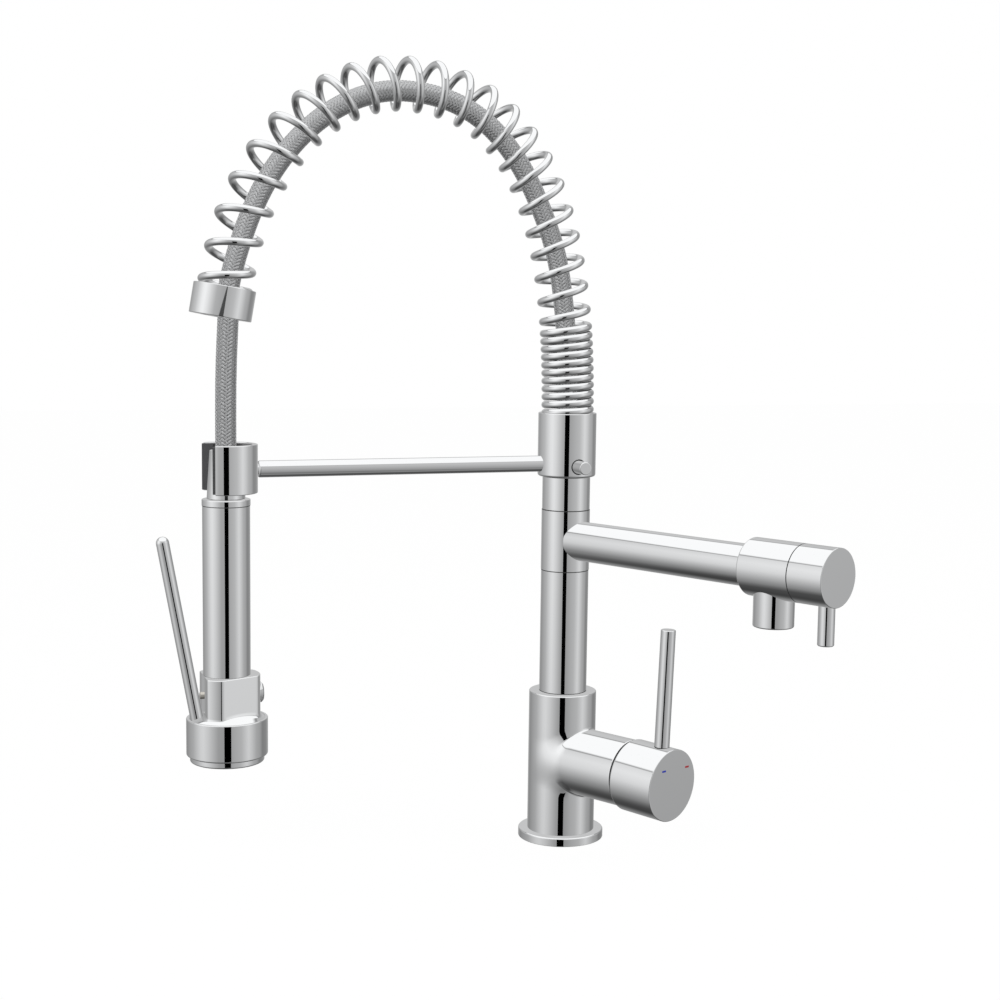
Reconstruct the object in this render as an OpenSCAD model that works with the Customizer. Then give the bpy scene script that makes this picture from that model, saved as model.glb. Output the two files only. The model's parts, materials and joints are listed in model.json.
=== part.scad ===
// Kitchen faucet with a spring arch, a pull-down hand spray and a swivelling pot filler.
// Origin: centre of the base flange's underside. +Z is up. The spring arch leans towards -X.

/* [Base and column] */
// Diameter of the base flange
flange_d = 50.6; // [46:0.2:60]
// Thickness of the base flange
flange_h = 5; // [4:0.5:8]
// Diameter of the mixer body
body_d = 39.8; // [38.6:0.2:42]
// Height of the mixer body above the flange
body_h = 83.6; // [78:0.2:110]
// Diameter of the column
column_d = 28; // [27:0.2:30]
// Visible height of the lower column
column_h = 72.5; // [50:0.5:120]
// Height of the spout ring
ring_h = 35.5; // [33:0.5:42]
// Visible height of the neck above the spout ring
neck_h = 19.2; // [16:0.2:30]
// Diameter of the top collar
collar_d = 34; // [33:0.2:37]
// Height of the top collar
collar_h = 37.1; // [34:0.1:48]

/* [Mixer] */
// Angle from the arch to the mixer, seen from above
mixer_turn_from_arm = 117.4; // [90:0.1:150]
// Height of the mixer axis above the flange
mixer_rise = 43; // [38:0.5:46]
// Diameter of the cartridge housing
housing_d = 39.2; // [38.4:0.1:39.4]
// Reach of the cartridge housing from the column axis
housing_reach = 53.6; // [50:0.2:64]
// Diameter of the handle cap
cap_d = 41.6; // [41.2:0.2:44]
// Length of the handle cap
cap_len = 29.1; // [27:0.1:36]
// Diameter of the mixer lever at its root
lever_root_d = 8.7; // [7:0.1:9.6]
// Diameter of the mixer lever at its tip
lever_tip_d = 8.5; // [6:0.1:9]
// Length of the mixer lever above the cap
lever_len = 67.5; // [45:0.5:95]

/* [Pot filler] */
// Angle from the arch to the pot filler, seen from above
spout_turn_from_arm = 115.9; // [90:0.1:150]
// Diameter of the spout tube
spout_tube_d = 23; // [20:0.2:25]
// Distance from the column axis to the spout's end face
spout_reach = 191.2; // [160:0.2:240]
// Diameter of the spout's valve housing and end cap
spout_head_d = 31.5; // [30.5:0.1:34]
// Length of the fixed valve housing
spout_housing_len = 32.4; // [31:0.1:38]
// Length of the turning end cap
spout_cap_len = 21.3; // [20:0.1:28]
// Diameter of the outlet nozzle
nozzle_d = 22; // [21:0.1:23]
// Distance from the spout axis down to the nozzle's mouth
nozzle_drop = 30.8; // [28.6:0.1:40]
// Diameter of the small spout lever
spout_lever_d = 8.8; // [7:0.1:9.6]
// Distance from the spout axis down to the small lever's end
spout_lever_drop = 36.2; // [28:0.1:48]

/* [Spring arm] */
// Distance from the column axis to the hand spray axis
arm_reach = 200.6; // [180:0.2:230]
// Diameter of the support rod
rod_d = 9.4; // [7:0.1:10.4]
// Height of the support rod above the collar's lower edge
rod_rise = 7.4; // [6.4:0.1:12]
// Outer diameter of the spring
spring_d = 30.7; // [30:0.1:31.4]
// Wire diameter of the spring
wire_d = 4.1; // [3.4:0.1:4.2]
// Turns in the tight stretch above the collar
tight_turns = 11.5; // [6:0.5:14]
// Distance between turns in the tight stretch
tight_pitch = 4.8; // [4.75:0.05:5.2]
// Turns in the open stretch over the arch
open_turns = 22.7; // [14:0.1:24]
// Height of the arch above the top collar
arch_rise = 183.2; // [160:0.2:220]
// Diameter of the hose
hose_d = 11.8; // [10:0.1:12]
// Diameter of the spring's end collar
end_collar_d = 34.1; // [33.5:0.1:37]
// Height of the spring's end collar
end_collar_h = 16.8; // [15.5:0.1:22]
// Outer diameter of the holder clip
clip_d = 34.8; // [33.6:0.1:38]
// Height of the holder clip
clip_h = 26.9; // [23:0.1:28]
// Opening angle of the holder clip's mouth
clip_mouth_angle = 116; // [100:1:122]

/* [Hand spray] */
// Diameter of the grip tube
grip_d = 26.2; // [25.6:0.1:27.6]
// Length of the grip tube that shows
grip_len = 94.7; // [80:0.1:97]
// Diameter of the spray head
head_d = 45.2; // [44:0.1:50]
// Height of the spray head's wall
head_h = 21; // [19.6:0.1:27]
// Diameter of the trigger lever
trigger_d = 7.2; // [6:0.1:7.6]
// Length of the trigger lever above its pivot
trigger_len = 106; // [84:0.2:110]
// Lean of the trigger lever from upright
trigger_lean = 10.35; // [10:0.05:12]

/* [Hidden] */
$fn = 96;

// Clearances, shared by every fit
run_gap = 0.08;
fixed_gap = 0.05;
face_gap = 0.3;
cut = 1;
edge = 0.5;
wall_thin = 1.2;
wall = 1.5;

// Heights up the column
body_top = flange_h + body_h;
column_top = body_top + column_h;
ring_bottom = column_top + face_gap;
ring_top = ring_bottom + ring_h;
neck_bottom = ring_top + face_gap;
neck_top = neck_bottom + neck_h;
collar_bottom = neck_top + face_gap;
collar_top = collar_bottom + collar_h;
spout_z = ring_bottom + ring_h / 2;
rod_z = collar_bottom + rod_rise;
mixer_z = flange_h + mixer_rise;

// Base
gasket_d = 44;
gasket_wire = 2.4;
spigot_d = 34.8;
inlet_r = 4.5;
inlet_side = 9;
inlet_front = 2;
inlet_depth = 14;
stud_r = 3.4;
stud_back = 10;
stud_depth = 16;
passage_r = 2.6;
passage_drop = 4;
outlet_rise = 9;
outlet_r = 3.5;

// Core tube and bearings
core_r = 8.5;
core_bore_r = 5.5;
core_seat = 22.6;
column_seat = 8;
journal_r = 10.5;
journal_over = 9;
port_band = 14;
port_r = 3;
oring_wire = 1.6;
oring_edge = 5;
washer_t = 0.8;
washer_edge = 0.4;
neck_thread = 15;
neck_spigot_r = 11.5;
neck_spigot_h = 22;

// Cartridge, measured along the mixer axis from the column axis
cavity_r = 17.3;
cavity_depth = 33.6;
cavity_floor = housing_reach - cavity_depth;
cartridge_r = 17;
base_t = 4;
base_lift = 0.2;
seal_wire = 1.6;
seal_ring_r = 3;
seal_sink = 1.4;
disc_r = 12.5;
disc_t = 3.5;
disc_gap = 0.05;
carrier_flange_t = 4;
carrier_r = 11.12;
carrier_end = 5.5;
nut_depth = 4.8;
nut_proud = 2.7;
nut_nose_r = 15.8;
nut_bore_r = 11.6;
pivot_back = 9.6;
stem_r = 3.4;
stem_tail = 5.8;
stem_nose = 8.4;
stem_slot_half_w = 6.6;
stem_pin_r = 1.3;

// Handle cap, measured from its own rear rim
cap_gap = 0.9;
cap_tilt = 1.5;
cap_turn = 1;
cap_wall = 1.5;
cap_solid = 13.4;
hub_r = 7;
hub_len = 8;
lever_back = 8.8;
lever_depth = 10;
grub_r = 1.6;
grub_len = 8;
grub_back = 11;
mark_len = 3.5;
mark_w = 1.1;
mark_t = 0.3;
mark_spread = 21;
mark_side = 2.1;
mark_rise = 9.3;
mark_turn = 2;

// Pot filler, measured along the spout axis from the column axis
ring_over = 0.4;
spout_wall = 1.7;
tube_socket = 3;
spout_cap_start = spout_reach - spout_cap_len;
spout_housing_start = spout_cap_start - face_gap - spout_housing_len;
nozzle_in = 14.2;
headwork_r = 8.6;
headwork_len = 17;
spindle_r = 4;
spindle_back = 12;
spindle_nose = 13;
nozzle_sink = 9.6;
nozzle_bore_r = 9.7;
nozzle_step = 12.6;
aerator_t = 8.5;
aerator_lip = 2.2;
aerator_hole_r = 0.8;
aerator_laps = 2;
lap_holes = 8;
aerator_washer_t = 1.8;
aerator_washer_w = 2.3;
spout_lever_in = 6.4;
spout_lever_seat = 6;
cap_recess_r = 13;
cap_recess = 6;

// Top collar and hose tail
tail_r = 7.4;
tail_len = 16.5;
tail_head_r = 8.05;
web_over = 0.4;
web_t = 5;
ferrule_wall = 1.4;
ferrule_len = 8;
hose_bore_r = 3;
recess_side = 0.45;
lock_d = 7.5;
lock_shank_r = 3;
lock_reach = 26.4;
lock_recess = 1.1;
lock_recess_side = 0.8;
lock_turn_from_arm = 93.7;
lock_rise = 6.5;
collar_round = 1.4;

// Arch of the spring: two Bezier halves that meet at the top, level
arch_top_share = 0.51;
arch_start_share = 0.46;
arch_before_share = 0.86;
arch_after_share = 0.315;
arch_end_share = 0.76;
arch_end_lean = 9;
end_drop = 113;
open_growth_ratio = 1.3;
end_turns = 0.9;
spring_phase = 0;
tang_share = 1.25;
tang_turn = 12;
curl_rings = 8;
wire_sides = 6;
hose_sides = 12;
hose_ring_diameters = 2;
hose_side = 3.7;
hose_side_start_share = 0.22;
hose_side_full_share = 0.5;
end_collar_recess = 9.2;
end_collar_lean = 9.6;
end_bore_r = 11.2;

// Rod and clip
rod_seat = 0.5;
rod_hole_gap = 0.25;
rod_recess = 2;
rod_spigot_r = 3.2;
rod_spigot_len = 2.6;
clip_drop = 12.7;
clip_twist = 3;
clip_wall = 2.8;
lip_t = 1.8;
liner_gap = 0.3;

// Hand spray, heights measured from the swivel cone's base
cone_drop = 15.8;
cone_base_z = rod_z - cone_drop;
cone_base_r = 10.6;
cone_top_r = 8.85;
cone_h = 26.6;
cone_neck_r = 9;
cone_flange_r = 10.6;
cone_flange_h = 3;
lower_ferrule_h = 11;
grip_ring_over = 0.25;
grip_ring_h = 3.6;
grip_ring_thread = 4;
grip_top = cone_base_z - face_gap - grip_ring_h;
cone_neck_h = grip_ring_h + grip_ring_thread + 2 * face_gap;
grip_bottom = grip_top - grip_len;
grip_thread = 6;
water_r = 5;
block_d = 36.8;
block_flat = 14.2;
block_flat_angle = 111.5;
block_front_reach = 13.3;
block_h = 23.4;
block_bottom = grip_bottom - block_h;
block_base_r = 20.9;
block_base_h = 6.7;
block_shoulder = 1.6;
block_spigot_r = 16;
block_spigot_h = 7.5;
slot_half_w = 5;
slot_floor = 10;
pocket_half_w = 4.1;
pocket_floor = 12.4;
pocket_depth = 4.3;
valve_rise = 12.2;
chamber_r = 5;
chamber_start = 6;
plunger_r = 2;
poppet_r = 4.2;
poppet_t = 2.5;
pin_r = 1.3;
pin_len = 19;
pivot_out = 16.5;
pivot_drop = 2.6;
trigger_tail = 3.2;
end_screw_r = 5.75;
end_screw_proud = 1.6;
end_screw_key = 3.4;
end_screw_in = 8.4;
valve_spring_len = 4.2;
head_top = block_bottom - block_shoulder / 2;
head_bottom = head_top - head_h;
head_wall = 1.6;
face_ring_step = 2;
face_ring_h = 3.7;
face_ring_thread = 5.5;
face_ring_w = 2.9;
face_t = 3;
face_hole_r = 0.7;
face_laps = 3;
face_sink = 0.6;

chrome = [0.83, 0.84, 0.85];
brass = [0.78, 0.66, 0.36];
black = [0.12, 0.12, 0.13];
braid = [0.62, 0.63, 0.64];
ceramic = [0.93, 0.92, 0.88];
white_plastic = [0.9, 0.9, 0.88];

// Turned pieces: a ring, and a rod with chamfered ends, both standing on z = 0
module ring_of(outer_r, inner_r, h) {
    difference() {
        cylinder(r = outer_r, h = h);
        translate([0, 0, -cut]) cylinder(r = inner_r, h = h + 2 * cut);
    }
}

module chamfered(r, h, low, high) {
    rotate_extrude() polygon([[0, 0], [r - low, 0], [r, low], [r, h - high], [r - high, h], [0, h]]);
}

module o_ring(mid_r, wire) {
    rotate_extrude() translate([mid_r, 0]) circle(d = wire, $fn = 24);
}

// Local frames: along the mixer axis, along the spout axis, and at the hand spray's axis
module at_mixer() {
    rotate([0, 0, 180 + mixer_turn_from_arm]) translate([0, 0, mixer_z]) rotate([0, 90, 0]) children();
}

module at_turned_mixer() {
    at_mixer() rotate([0, 0, -cap_turn]) children();
}

module at_handle() {
    pivot = housing_reach - pivot_back;
    at_turned_mixer() translate([0, 0, pivot]) rotate([0, cap_tilt, 0]) translate([0, 0, -pivot]) children();
}

module at_spout() {
    rotate([0, 0, 180 + spout_turn_from_arm]) translate([0, 0, spout_z]) rotate([0, 90, 0]) children();
}

module at_spray() {
    translate([-arm_reach, 0, 0]) rotate([0, 0, 180]) children();
}

// Base

module base_gasket() {
    color(black) translate([0, 0, gasket_wire / 2]) o_ring(gasket_d / 2, gasket_wire);
}

module base_flange() {
    groove_r = gasket_wire / 2 + fixed_gap;
    color(chrome) difference() {
        chamfered(flange_d / 2, flange_h, 0, edge * 2);
        translate([0, 0, -cut]) cylinder(r = spigot_d / 2 + fixed_gap, h = flange_h + 2 * cut);
        translate([0, 0, -cut])
            ring_of(gasket_d / 2 + groove_r, gasket_d / 2 - groove_r, gasket_wire + fixed_gap + cut);
    }
}

module mixer_body() {
    body_r = body_d / 2;
    core_bottom = body_top - core_seat;
    color(chrome) difference() {
        union() {
            translate([0, 0, flange_h]) chamfered(body_r, body_h, 0, edge);
            cylinder(d = spigot_d, h = flange_h + cut);
            at_mixer() chamfered(housing_d / 2, housing_reach, 0, 2 * edge);
        }
        at_mixer() translate([0, 0, cavity_floor]) cylinder(r = cavity_r, h = housing_reach);
        translate([0, 0, body_top - column_seat]) cylinder(r = column_d / 2 + fixed_gap, h = column_seat + cut);
        translate([0, 0, core_bottom]) cylinder(r = core_r + fixed_gap, h = core_seat);
        translate([0, 0, mixer_z + outlet_rise])
            cylinder(r = core_bore_r, h = core_bottom + cut - mixer_z - outlet_rise);
        at_mixer() translate([-outlet_rise, 0, 0]) cylinder(r = outlet_r, h = cavity_floor + cut);
        rotate([0, 0, 180 + mixer_turn_from_arm]) {
            for (side = [-1, 1]) translate([inlet_front, side * inlet_side, 0]) {
                cylinder(r = inlet_r, h = inlet_depth);
                cylinder(r = passage_r, h = mixer_z - passage_drop);
            }
            translate([-stud_back, 0, 0]) cylinder(r = stud_r, h = stud_depth);
        }
        at_mixer() for (side = [-1, 1]) translate([passage_drop, side * inlet_side, inlet_front])
            cylinder(r = passage_r, h = cavity_floor + cut - inlet_front);
    }
}

// Column

module lower_column() {
    column_bottom = body_top - column_seat;
    shoulder = column_top - journal_over;
    color(chrome) difference() {
        translate([0, 0, column_bottom]) cylinder(d = column_d, h = column_top - column_bottom);
        translate([0, 0, column_bottom - cut]) cylinder(r = column_d / 2 - wall, h = shoulder - column_bottom + cut);
        translate([0, 0, shoulder - cut]) cylinder(r = journal_r + fixed_gap, h = journal_over + 2 * cut);
    }
}

module core_tube() {
    core_bottom = body_top - core_seat;
    core_top = neck_bottom + neck_thread;
    journal_bottom = column_top - journal_over;
    groove_r = journal_r - oring_wire - fixed_gap;
    groove_h = oring_wire + 2 * face_gap;
    color(brass) difference() {
        union() {
            translate([0, 0, core_bottom]) cylinder(r = core_r, h = core_top - core_bottom);
            translate([0, 0, journal_bottom]) cylinder(r = journal_r, h = ring_top - journal_bottom);
        }
        translate([0, 0, core_bottom - cut]) cylinder(r = core_bore_r, h = core_top - core_bottom + 2 * cut);
        translate([0, 0, spout_z - port_band / 2]) ring_of(journal_r + cut, core_r, port_band);
        for (z = [ring_bottom + oring_edge, ring_top - oring_edge])
            translate([0, 0, z - groove_h / 2]) ring_of(journal_r + cut, groove_r, groove_h);
        translate([0, 0, spout_z]) for (turn = [0, 90]) rotate([0, 0, turn]) rotate([0, 90, 0])
            cylinder(r = port_r, h = 2 * journal_r, center = true);
    }
}

module core_o_rings() {
    color(black) for (z = [ring_bottom + oring_edge, ring_top - oring_edge])
        translate([0, 0, z]) o_ring(journal_r - oring_wire / 2, oring_wire);
}

module bearing_washers() {
    inner_r = journal_r + fixed_gap;
    outer_r = column_d / 2 - washer_edge;
    color(white_plastic) for (z = [column_top, neck_bottom - washer_t])
        translate([0, 0, z]) ring_of(outer_r, inner_r, washer_t);
}

module upper_neck() {
    spigot_top = neck_top + neck_spigot_h;
    color(chrome) difference() {
        union() {
            translate([0, 0, neck_bottom]) cylinder(d = column_d, h = neck_h);
            translate([0, 0, neck_top]) chamfered(neck_spigot_r, neck_spigot_h, 0, edge);
        }
        translate([0, 0, neck_bottom - cut]) cylinder(r = core_r + fixed_gap, h = neck_thread + cut);
        translate([0, 0, neck_bottom]) cylinder(r = tail_r + run_gap, h = spigot_top - neck_bottom + cut);
    }
}

// Mixer cartridge

module port_places() {
    translate([passage_drop, inlet_side, 0]) children();
    translate([passage_drop, -inlet_side, 0]) children();
    translate([-outlet_rise, 0, 0]) children();
}

module cartridge_base() {
    color(white_plastic) at_mixer() translate([0, 0, cavity_floor + base_lift]) difference() {
        cylinder(r = cartridge_r, h = base_t);
        port_places() {
            translate([0, 0, -cut]) cylinder(r = passage_r, h = base_t + 2 * cut);
            translate([0, 0, -cut]) cylinder(r = seal_ring_r + seal_wire / 2 + fixed_gap, h = seal_sink + cut);
        }
    }
}

module cartridge_seals() {
    seat = cavity_floor + base_lift + seal_sink - seal_wire / 2;
    color(black) at_mixer() translate([0, 0, seat]) port_places() o_ring(seal_ring_r, seal_wire);
}

module fixed_disc() {
    start = cavity_floor + base_lift + base_t + disc_gap;
    color(ceramic) at_mixer() translate([0, 0, start]) difference() {
        cylinder(r = disc_r, h = disc_t);
        port_places() translate([0, 0, -cut]) cylinder(r = passage_r, h = disc_t + 2 * cut);
    }
}

disc_stack = cavity_floor + base_lift + base_t + 2 * disc_gap + disc_t;
carrier_start = disc_stack + disc_t + disc_gap;
shell_end = housing_reach - nut_depth - fixed_gap;

module cartridge_body() {
    start = cavity_floor + base_lift + base_t + disc_gap;
    lip_start = carrier_start + carrier_flange_t + disc_gap;
    color(white_plastic) at_mixer() difference() {
        translate([0, 0, start]) cylinder(r = cartridge_r, h = shell_end - start);
        translate([0, 0, start - cut]) cylinder(r = disc_r + run_gap, h = lip_start - start + cut);
        translate([0, 0, start]) cylinder(r = carrier_r + run_gap, h = shell_end - start + cut);
    }
}

module cartridge_nut() {
    nose = housing_reach + nut_proud;
    color(brass) at_mixer() difference() {
        union() {
            translate([0, 0, shell_end + fixed_gap]) cylinder(r = cavity_r - fixed_gap, h = nut_depth);
            translate([0, 0, housing_reach - cut]) chamfered(nut_nose_r, nut_proud + cut, 0, edge);
        }
        translate([0, 0, shell_end]) cylinder(r = nut_bore_r, h = nose - shell_end + cut);
    }
}

module moving_disc() {
    color(ceramic) at_turned_mixer() translate([0, 0, disc_stack]) difference() {
        cylinder(r = disc_r, h = disc_t);
        translate([0, 0, -cut]) cylinder(r = inlet_side - passage_r, h = disc_t / 2 + cut);
    }
}

module cartridge_carrier() {
    pivot = housing_reach - pivot_back;
    color(white_plastic) at_turned_mixer() difference() {
        union() {
            translate([0, 0, carrier_start]) cylinder(r = disc_r, h = carrier_flange_t);
            translate([0, 0, carrier_start]) cylinder(r = carrier_r, h = housing_reach - carrier_end - carrier_start);
        }
        translate([-stem_slot_half_w, -stem_r - run_gap, carrier_start + wall])
            cube([2 * stem_slot_half_w, 2 * (stem_r + run_gap), housing_reach]);
        translate([0, 0, pivot]) rotate([90, 0, 0])
            cylinder(r = stem_pin_r + fixed_gap, h = 2 * carrier_r + cut, center = true);
    }
}

module stem_pin() {
    pivot = housing_reach - pivot_back;
    color(brass) at_turned_mixer() translate([0, 0, pivot]) rotate([90, 0, 0])
        cylinder(r = stem_pin_r, h = 2 * (carrier_r - edge), center = true);
}

// Mixer handle

cap_start = housing_reach + cap_gap;
cap_end = cap_start + cap_len;

module cartridge_stem() {
    pivot = housing_reach - pivot_back;
    start = pivot - stem_tail;
    stem_end = cap_end - stem_nose;
    color(brass) at_handle() difference() {
        translate([0, 0, start]) cylinder(r = stem_r, h = stem_end - start);
        translate([0, 0, pivot]) rotate([90, 0, 0])
            cylinder(r = stem_pin_r + run_gap, h = 2 * stem_r + cut, center = true);
    }
}

module handle_cap() {
    cavity_len = cap_len - cap_solid;
    bore_end = cap_end - stem_nose + fixed_gap;
    color(chrome) at_handle() difference() {
        translate([0, 0, cap_start]) chamfered(cap_d / 2, cap_len, edge, edge);
        difference() {
            translate([0, 0, cap_start - cut]) cylinder(r = cap_d / 2 - cap_wall, h = cavity_len + cut);
            translate([0, 0, cap_start + cavity_len - hub_len]) cylinder(r = hub_r, h = hub_len + cut);
        }
        translate([0, 0, cap_start]) cylinder(r = stem_r + fixed_gap, h = bore_end - cap_start);
        lever_place() translate([0, 0, -lever_depth])
            cylinder(r = lever_root_d / 2 + fixed_gap, h = lever_depth + cut);
        translate([0, 0, cap_end - grub_back]) rotate([0, 90, 0])
            cylinder(r = grub_r + fixed_gap, h = cap_d / 2 + cut);
        marks_place() translate([0, 0, -mark_t]) mark(fixed_gap);
    }
}

// Root of the lever, on the cap's top
module lever_place() {
    translate([-cap_d / 2, 0, cap_end - lever_back]) rotate([0, -90, 0]) children();
}

module mixer_lever() {
    color(chrome) at_handle() lever_place() {
        translate([0, 0, -lever_depth]) cylinder(d = lever_root_d, h = lever_depth);
        cylinder(d1 = lever_root_d, d2 = lever_tip_d, h = lever_len - edge);
        translate([0, 0, lever_len - edge]) cylinder(d1 = lever_tip_d, d2 = lever_tip_d - 2 * edge, h = edge);
    }
}

module grub_screw() {
    color(brass) at_handle() translate([stem_r + fixed_gap, 0, cap_end - grub_back]) rotate([0, 90, 0])
        cylinder(r = grub_r, h = grub_len);
}

module mark(gap) {
    translate([-mark_w / 2 - gap, -mark_len / 2 - gap, 0])
        cube([mark_w + 2 * gap, mark_len + 2 * gap, mark_t + cut]);
}

module mark_place(side) {
    rotate([0, 0, -mark_turn]) translate([-mark_rise, mark_side + side * mark_spread / 2, cap_end]) children();
}

module marks_place() {
    for (side = [-1, 1]) mark_place(side) children();
}

module mark_plate() {
    translate([-mark_w / 2, -mark_len / 2, -mark_t]) cube([mark_w, mark_len, mark_t]);
}

module cold_mark() {
    color([0.13, 0.25, 0.75]) at_handle() mark_place(-1) mark_plate();
}

module hot_mark() {
    color([0.8, 0.05, 0.12]) at_handle() mark_place(1) mark_plate();
}

// Pot filler

module spout_ring() {
    recess_r = column_d / 2 - washer_edge + fixed_gap;
    sink = washer_t - face_gap + fixed_gap;
    ring_r = column_d / 2 + ring_over / 2;
    color(chrome) difference() {
        translate([0, 0, ring_bottom]) cylinder(r = ring_r, h = ring_h);
        translate([0, 0, ring_bottom - cut]) cylinder(r = journal_r + run_gap, h = ring_h + 2 * cut);
        translate([0, 0, ring_bottom - cut]) cylinder(r = recess_r, h = sink + cut);
        translate([0, 0, ring_top - sink]) cylinder(r = recess_r, h = sink + cut);
        at_spout() cylinder(r = spout_tube_d / 2 - spout_wall - wall, h = column_d);
    }
}

module spout_tube() {
    ring_r = column_d / 2 + ring_over / 2;
    tube_end = spout_housing_start + tube_socket - fixed_gap;
    color(chrome) difference() {
        at_spout() ring_of(spout_tube_d / 2, spout_tube_d / 2 - spout_wall, tube_end);
        translate([0, 0, ring_bottom - cut]) cylinder(r = ring_r + fixed_gap, h = ring_h + 2 * cut);
    }
}

module valve_housing() {
    head_r = spout_head_d / 2;
    housing_end = spout_housing_start + spout_housing_len;
    nozzle_at = spout_housing_start + nozzle_in;
    color(chrome) difference() {
        at_spout() translate([0, 0, spout_housing_start]) chamfered(head_r, spout_housing_len, 2 * edge, edge / 2);
        at_spout() translate([0, 0, spout_housing_start - cut])
            cylinder(r = spout_tube_d / 2 + fixed_gap, h = tube_socket + cut);
        at_spout() translate([0, 0, spout_housing_start])
            cylinder(r = spout_tube_d / 2 - 2 * spout_wall, h = tube_socket + 2 * cut);
        at_spout() translate([0, 0, housing_end - headwork_len - fixed_gap])
            cylinder(r = headwork_r + fixed_gap, h = headwork_len + cut);
        at_spout() translate([0, 0, spout_housing_start]) cylinder(r = outlet_r, h = spout_housing_len);
        at_spout() translate([nozzle_sink - fixed_gap, 0, nozzle_at]) rotate([0, 90, 0])
            cylinder(r = nozzle_d / 2 + fixed_gap, h = head_r);
        at_spout() translate([0, 0, nozzle_at]) rotate([0, 90, 0]) cylinder(r = outlet_r, h = head_r);
    }
}

module headwork_body() {
    housing_end = spout_housing_start + spout_housing_len;
    color(brass) at_spout() difference() {
        translate([0, 0, housing_end - headwork_len]) cylinder(r = headwork_r, h = headwork_len - face_gap);
        translate([0, 0, housing_end - spindle_back - run_gap])
            cylinder(r = spindle_r + run_gap, h = headwork_len);
        translate([0, 0, spout_housing_start]) cylinder(r = outlet_r, h = spout_housing_len);
    }
}

module at_nozzle() {
    rotate([0, 0, 180 + spout_turn_from_arm]) translate([spout_housing_start + nozzle_in, 0, spout_z - nozzle_drop])
        children();
}

module outlet_nozzle() {
    nozzle_h = nozzle_drop - nozzle_sink;
    color(chrome) at_nozzle() difference() {
        chamfered(nozzle_d / 2, nozzle_h, 2 * edge, 0);
        translate([0, 0, -cut]) cylinder(r = nozzle_bore_r, h = nozzle_step + cut);
        cylinder(r = core_bore_r, h = nozzle_h + cut);
    }
}

module aerator_washer() {
    color(black) at_nozzle() translate([0, 0, nozzle_step - aerator_washer_t])
        ring_of(nozzle_bore_r - fixed_gap, nozzle_bore_r - aerator_washer_w, aerator_washer_t);
}

module aerator_insert() {
    insert_r = nozzle_bore_r - fixed_gap;
    start = nozzle_step - aerator_washer_t - aerator_t;
    color(white_plastic) at_nozzle() translate([0, 0, start]) difference() {
        cylinder(r = insert_r, h = aerator_t);
        translate([0, 0, -cut]) cylinder(r = insert_r - wall_thin, h = aerator_lip + cut);
        for (lap = [1 : aerator_laps], hole = [0 : lap_holes * lap - 1]) rotate([0, 0, hole * 360 / lap_holes / lap])
            translate([lap * insert_r / (aerator_laps + 1), 0, -cut])
                cylinder(r = aerator_hole_r, h = aerator_t + 2 * cut, $fn = 16);
    }
}

module headwork_spindle() {
    housing_end = spout_housing_start + spout_housing_len;
    color(brass) at_spout() translate([0, 0, housing_end - spindle_back])
        cylinder(r = spindle_r, h = spindle_back + spindle_nose);
}

module spout_cap() {
    housing_end = spout_housing_start + spout_housing_len;
    color(chrome) at_spout() difference() {
        translate([0, 0, spout_cap_start]) chamfered(spout_head_d / 2, spout_cap_len, edge / 2, edge);
        translate([0, 0, spout_cap_start - cut]) ring_of(cap_recess_r, hub_r, cap_recess + cut);
        translate([0, 0, spout_cap_start - cut])
            cylinder(r = spindle_r + fixed_gap, h = housing_end + spindle_nose - spout_cap_start + fixed_gap + cut);
        translate([spout_lever_seat, 0, spout_reach - spout_lever_in]) rotate([0, 90, 0])
            cylinder(r = spout_lever_d / 2 + fixed_gap, h = spout_head_d);
    }
}

module spout_lever() {
    color(chrome) at_spout() translate([spout_lever_seat, 0, spout_reach - spout_lever_in]) rotate([0, 90, 0])
        chamfered(spout_lever_d / 2, spout_lever_drop - spout_lever_seat, 0, 2 * edge);
}

// Top collar

tail_top = neck_top + neck_spigot_h + web_over;
recess_floor = tail_top + web_t;
spring_r = (spring_d - wire_d) / 2;
hose_r = hose_d / 2;

module arm_washer() {
    inner_r = neck_spigot_r + fixed_gap;
    color(white_plastic) translate([0, 0, neck_top]) ring_of(column_d / 2 - washer_edge, inner_r, washer_t);
}

module top_collar() {
    sink = washer_t - face_gap + fixed_gap;
    collar_r = collar_d / 2;
    lock_z = collar_bottom + lock_rise;
    color(chrome) difference() {
        translate([0, 0, collar_bottom]) chamfered(collar_r, collar_h, collar_round, edge);
        translate([0, 0, collar_bottom - cut])
            cylinder(r = neck_spigot_r + run_gap, h = tail_top - collar_bottom + cut);
        translate([0, 0, collar_bottom - cut])
            cylinder(r = column_d / 2 - washer_edge + fixed_gap, h = sink + cut);
        translate([0, 0, collar_bottom]) cylinder(r = tail_head_r + fixed_gap, h = collar_h);
        translate([0, 0, recess_floor]) cylinder(r = spring_d / 2 + recess_side, h = collar_h);
        translate([0, 0, rod_z]) rotate([0, -90, 0]) {
            cylinder(r = rod_d / 2 + fixed_gap, h = collar_d);
            translate([0, 0, collar_r - rod_recess]) cylinder(r = rod_d / 2 + rod_hole_gap, h = collar_r);
        }
        rotate([0, 0, 180 + lock_turn_from_arm]) translate([0, 0, lock_z]) rotate([0, 90, 0]) {
            cylinder(r = lock_shank_r + run_gap, h = collar_d);
            translate([0, 0, collar_r - lock_recess]) cylinder(r = lock_d / 2 + lock_recess_side, h = collar_r);
        }
    }
}

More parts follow.
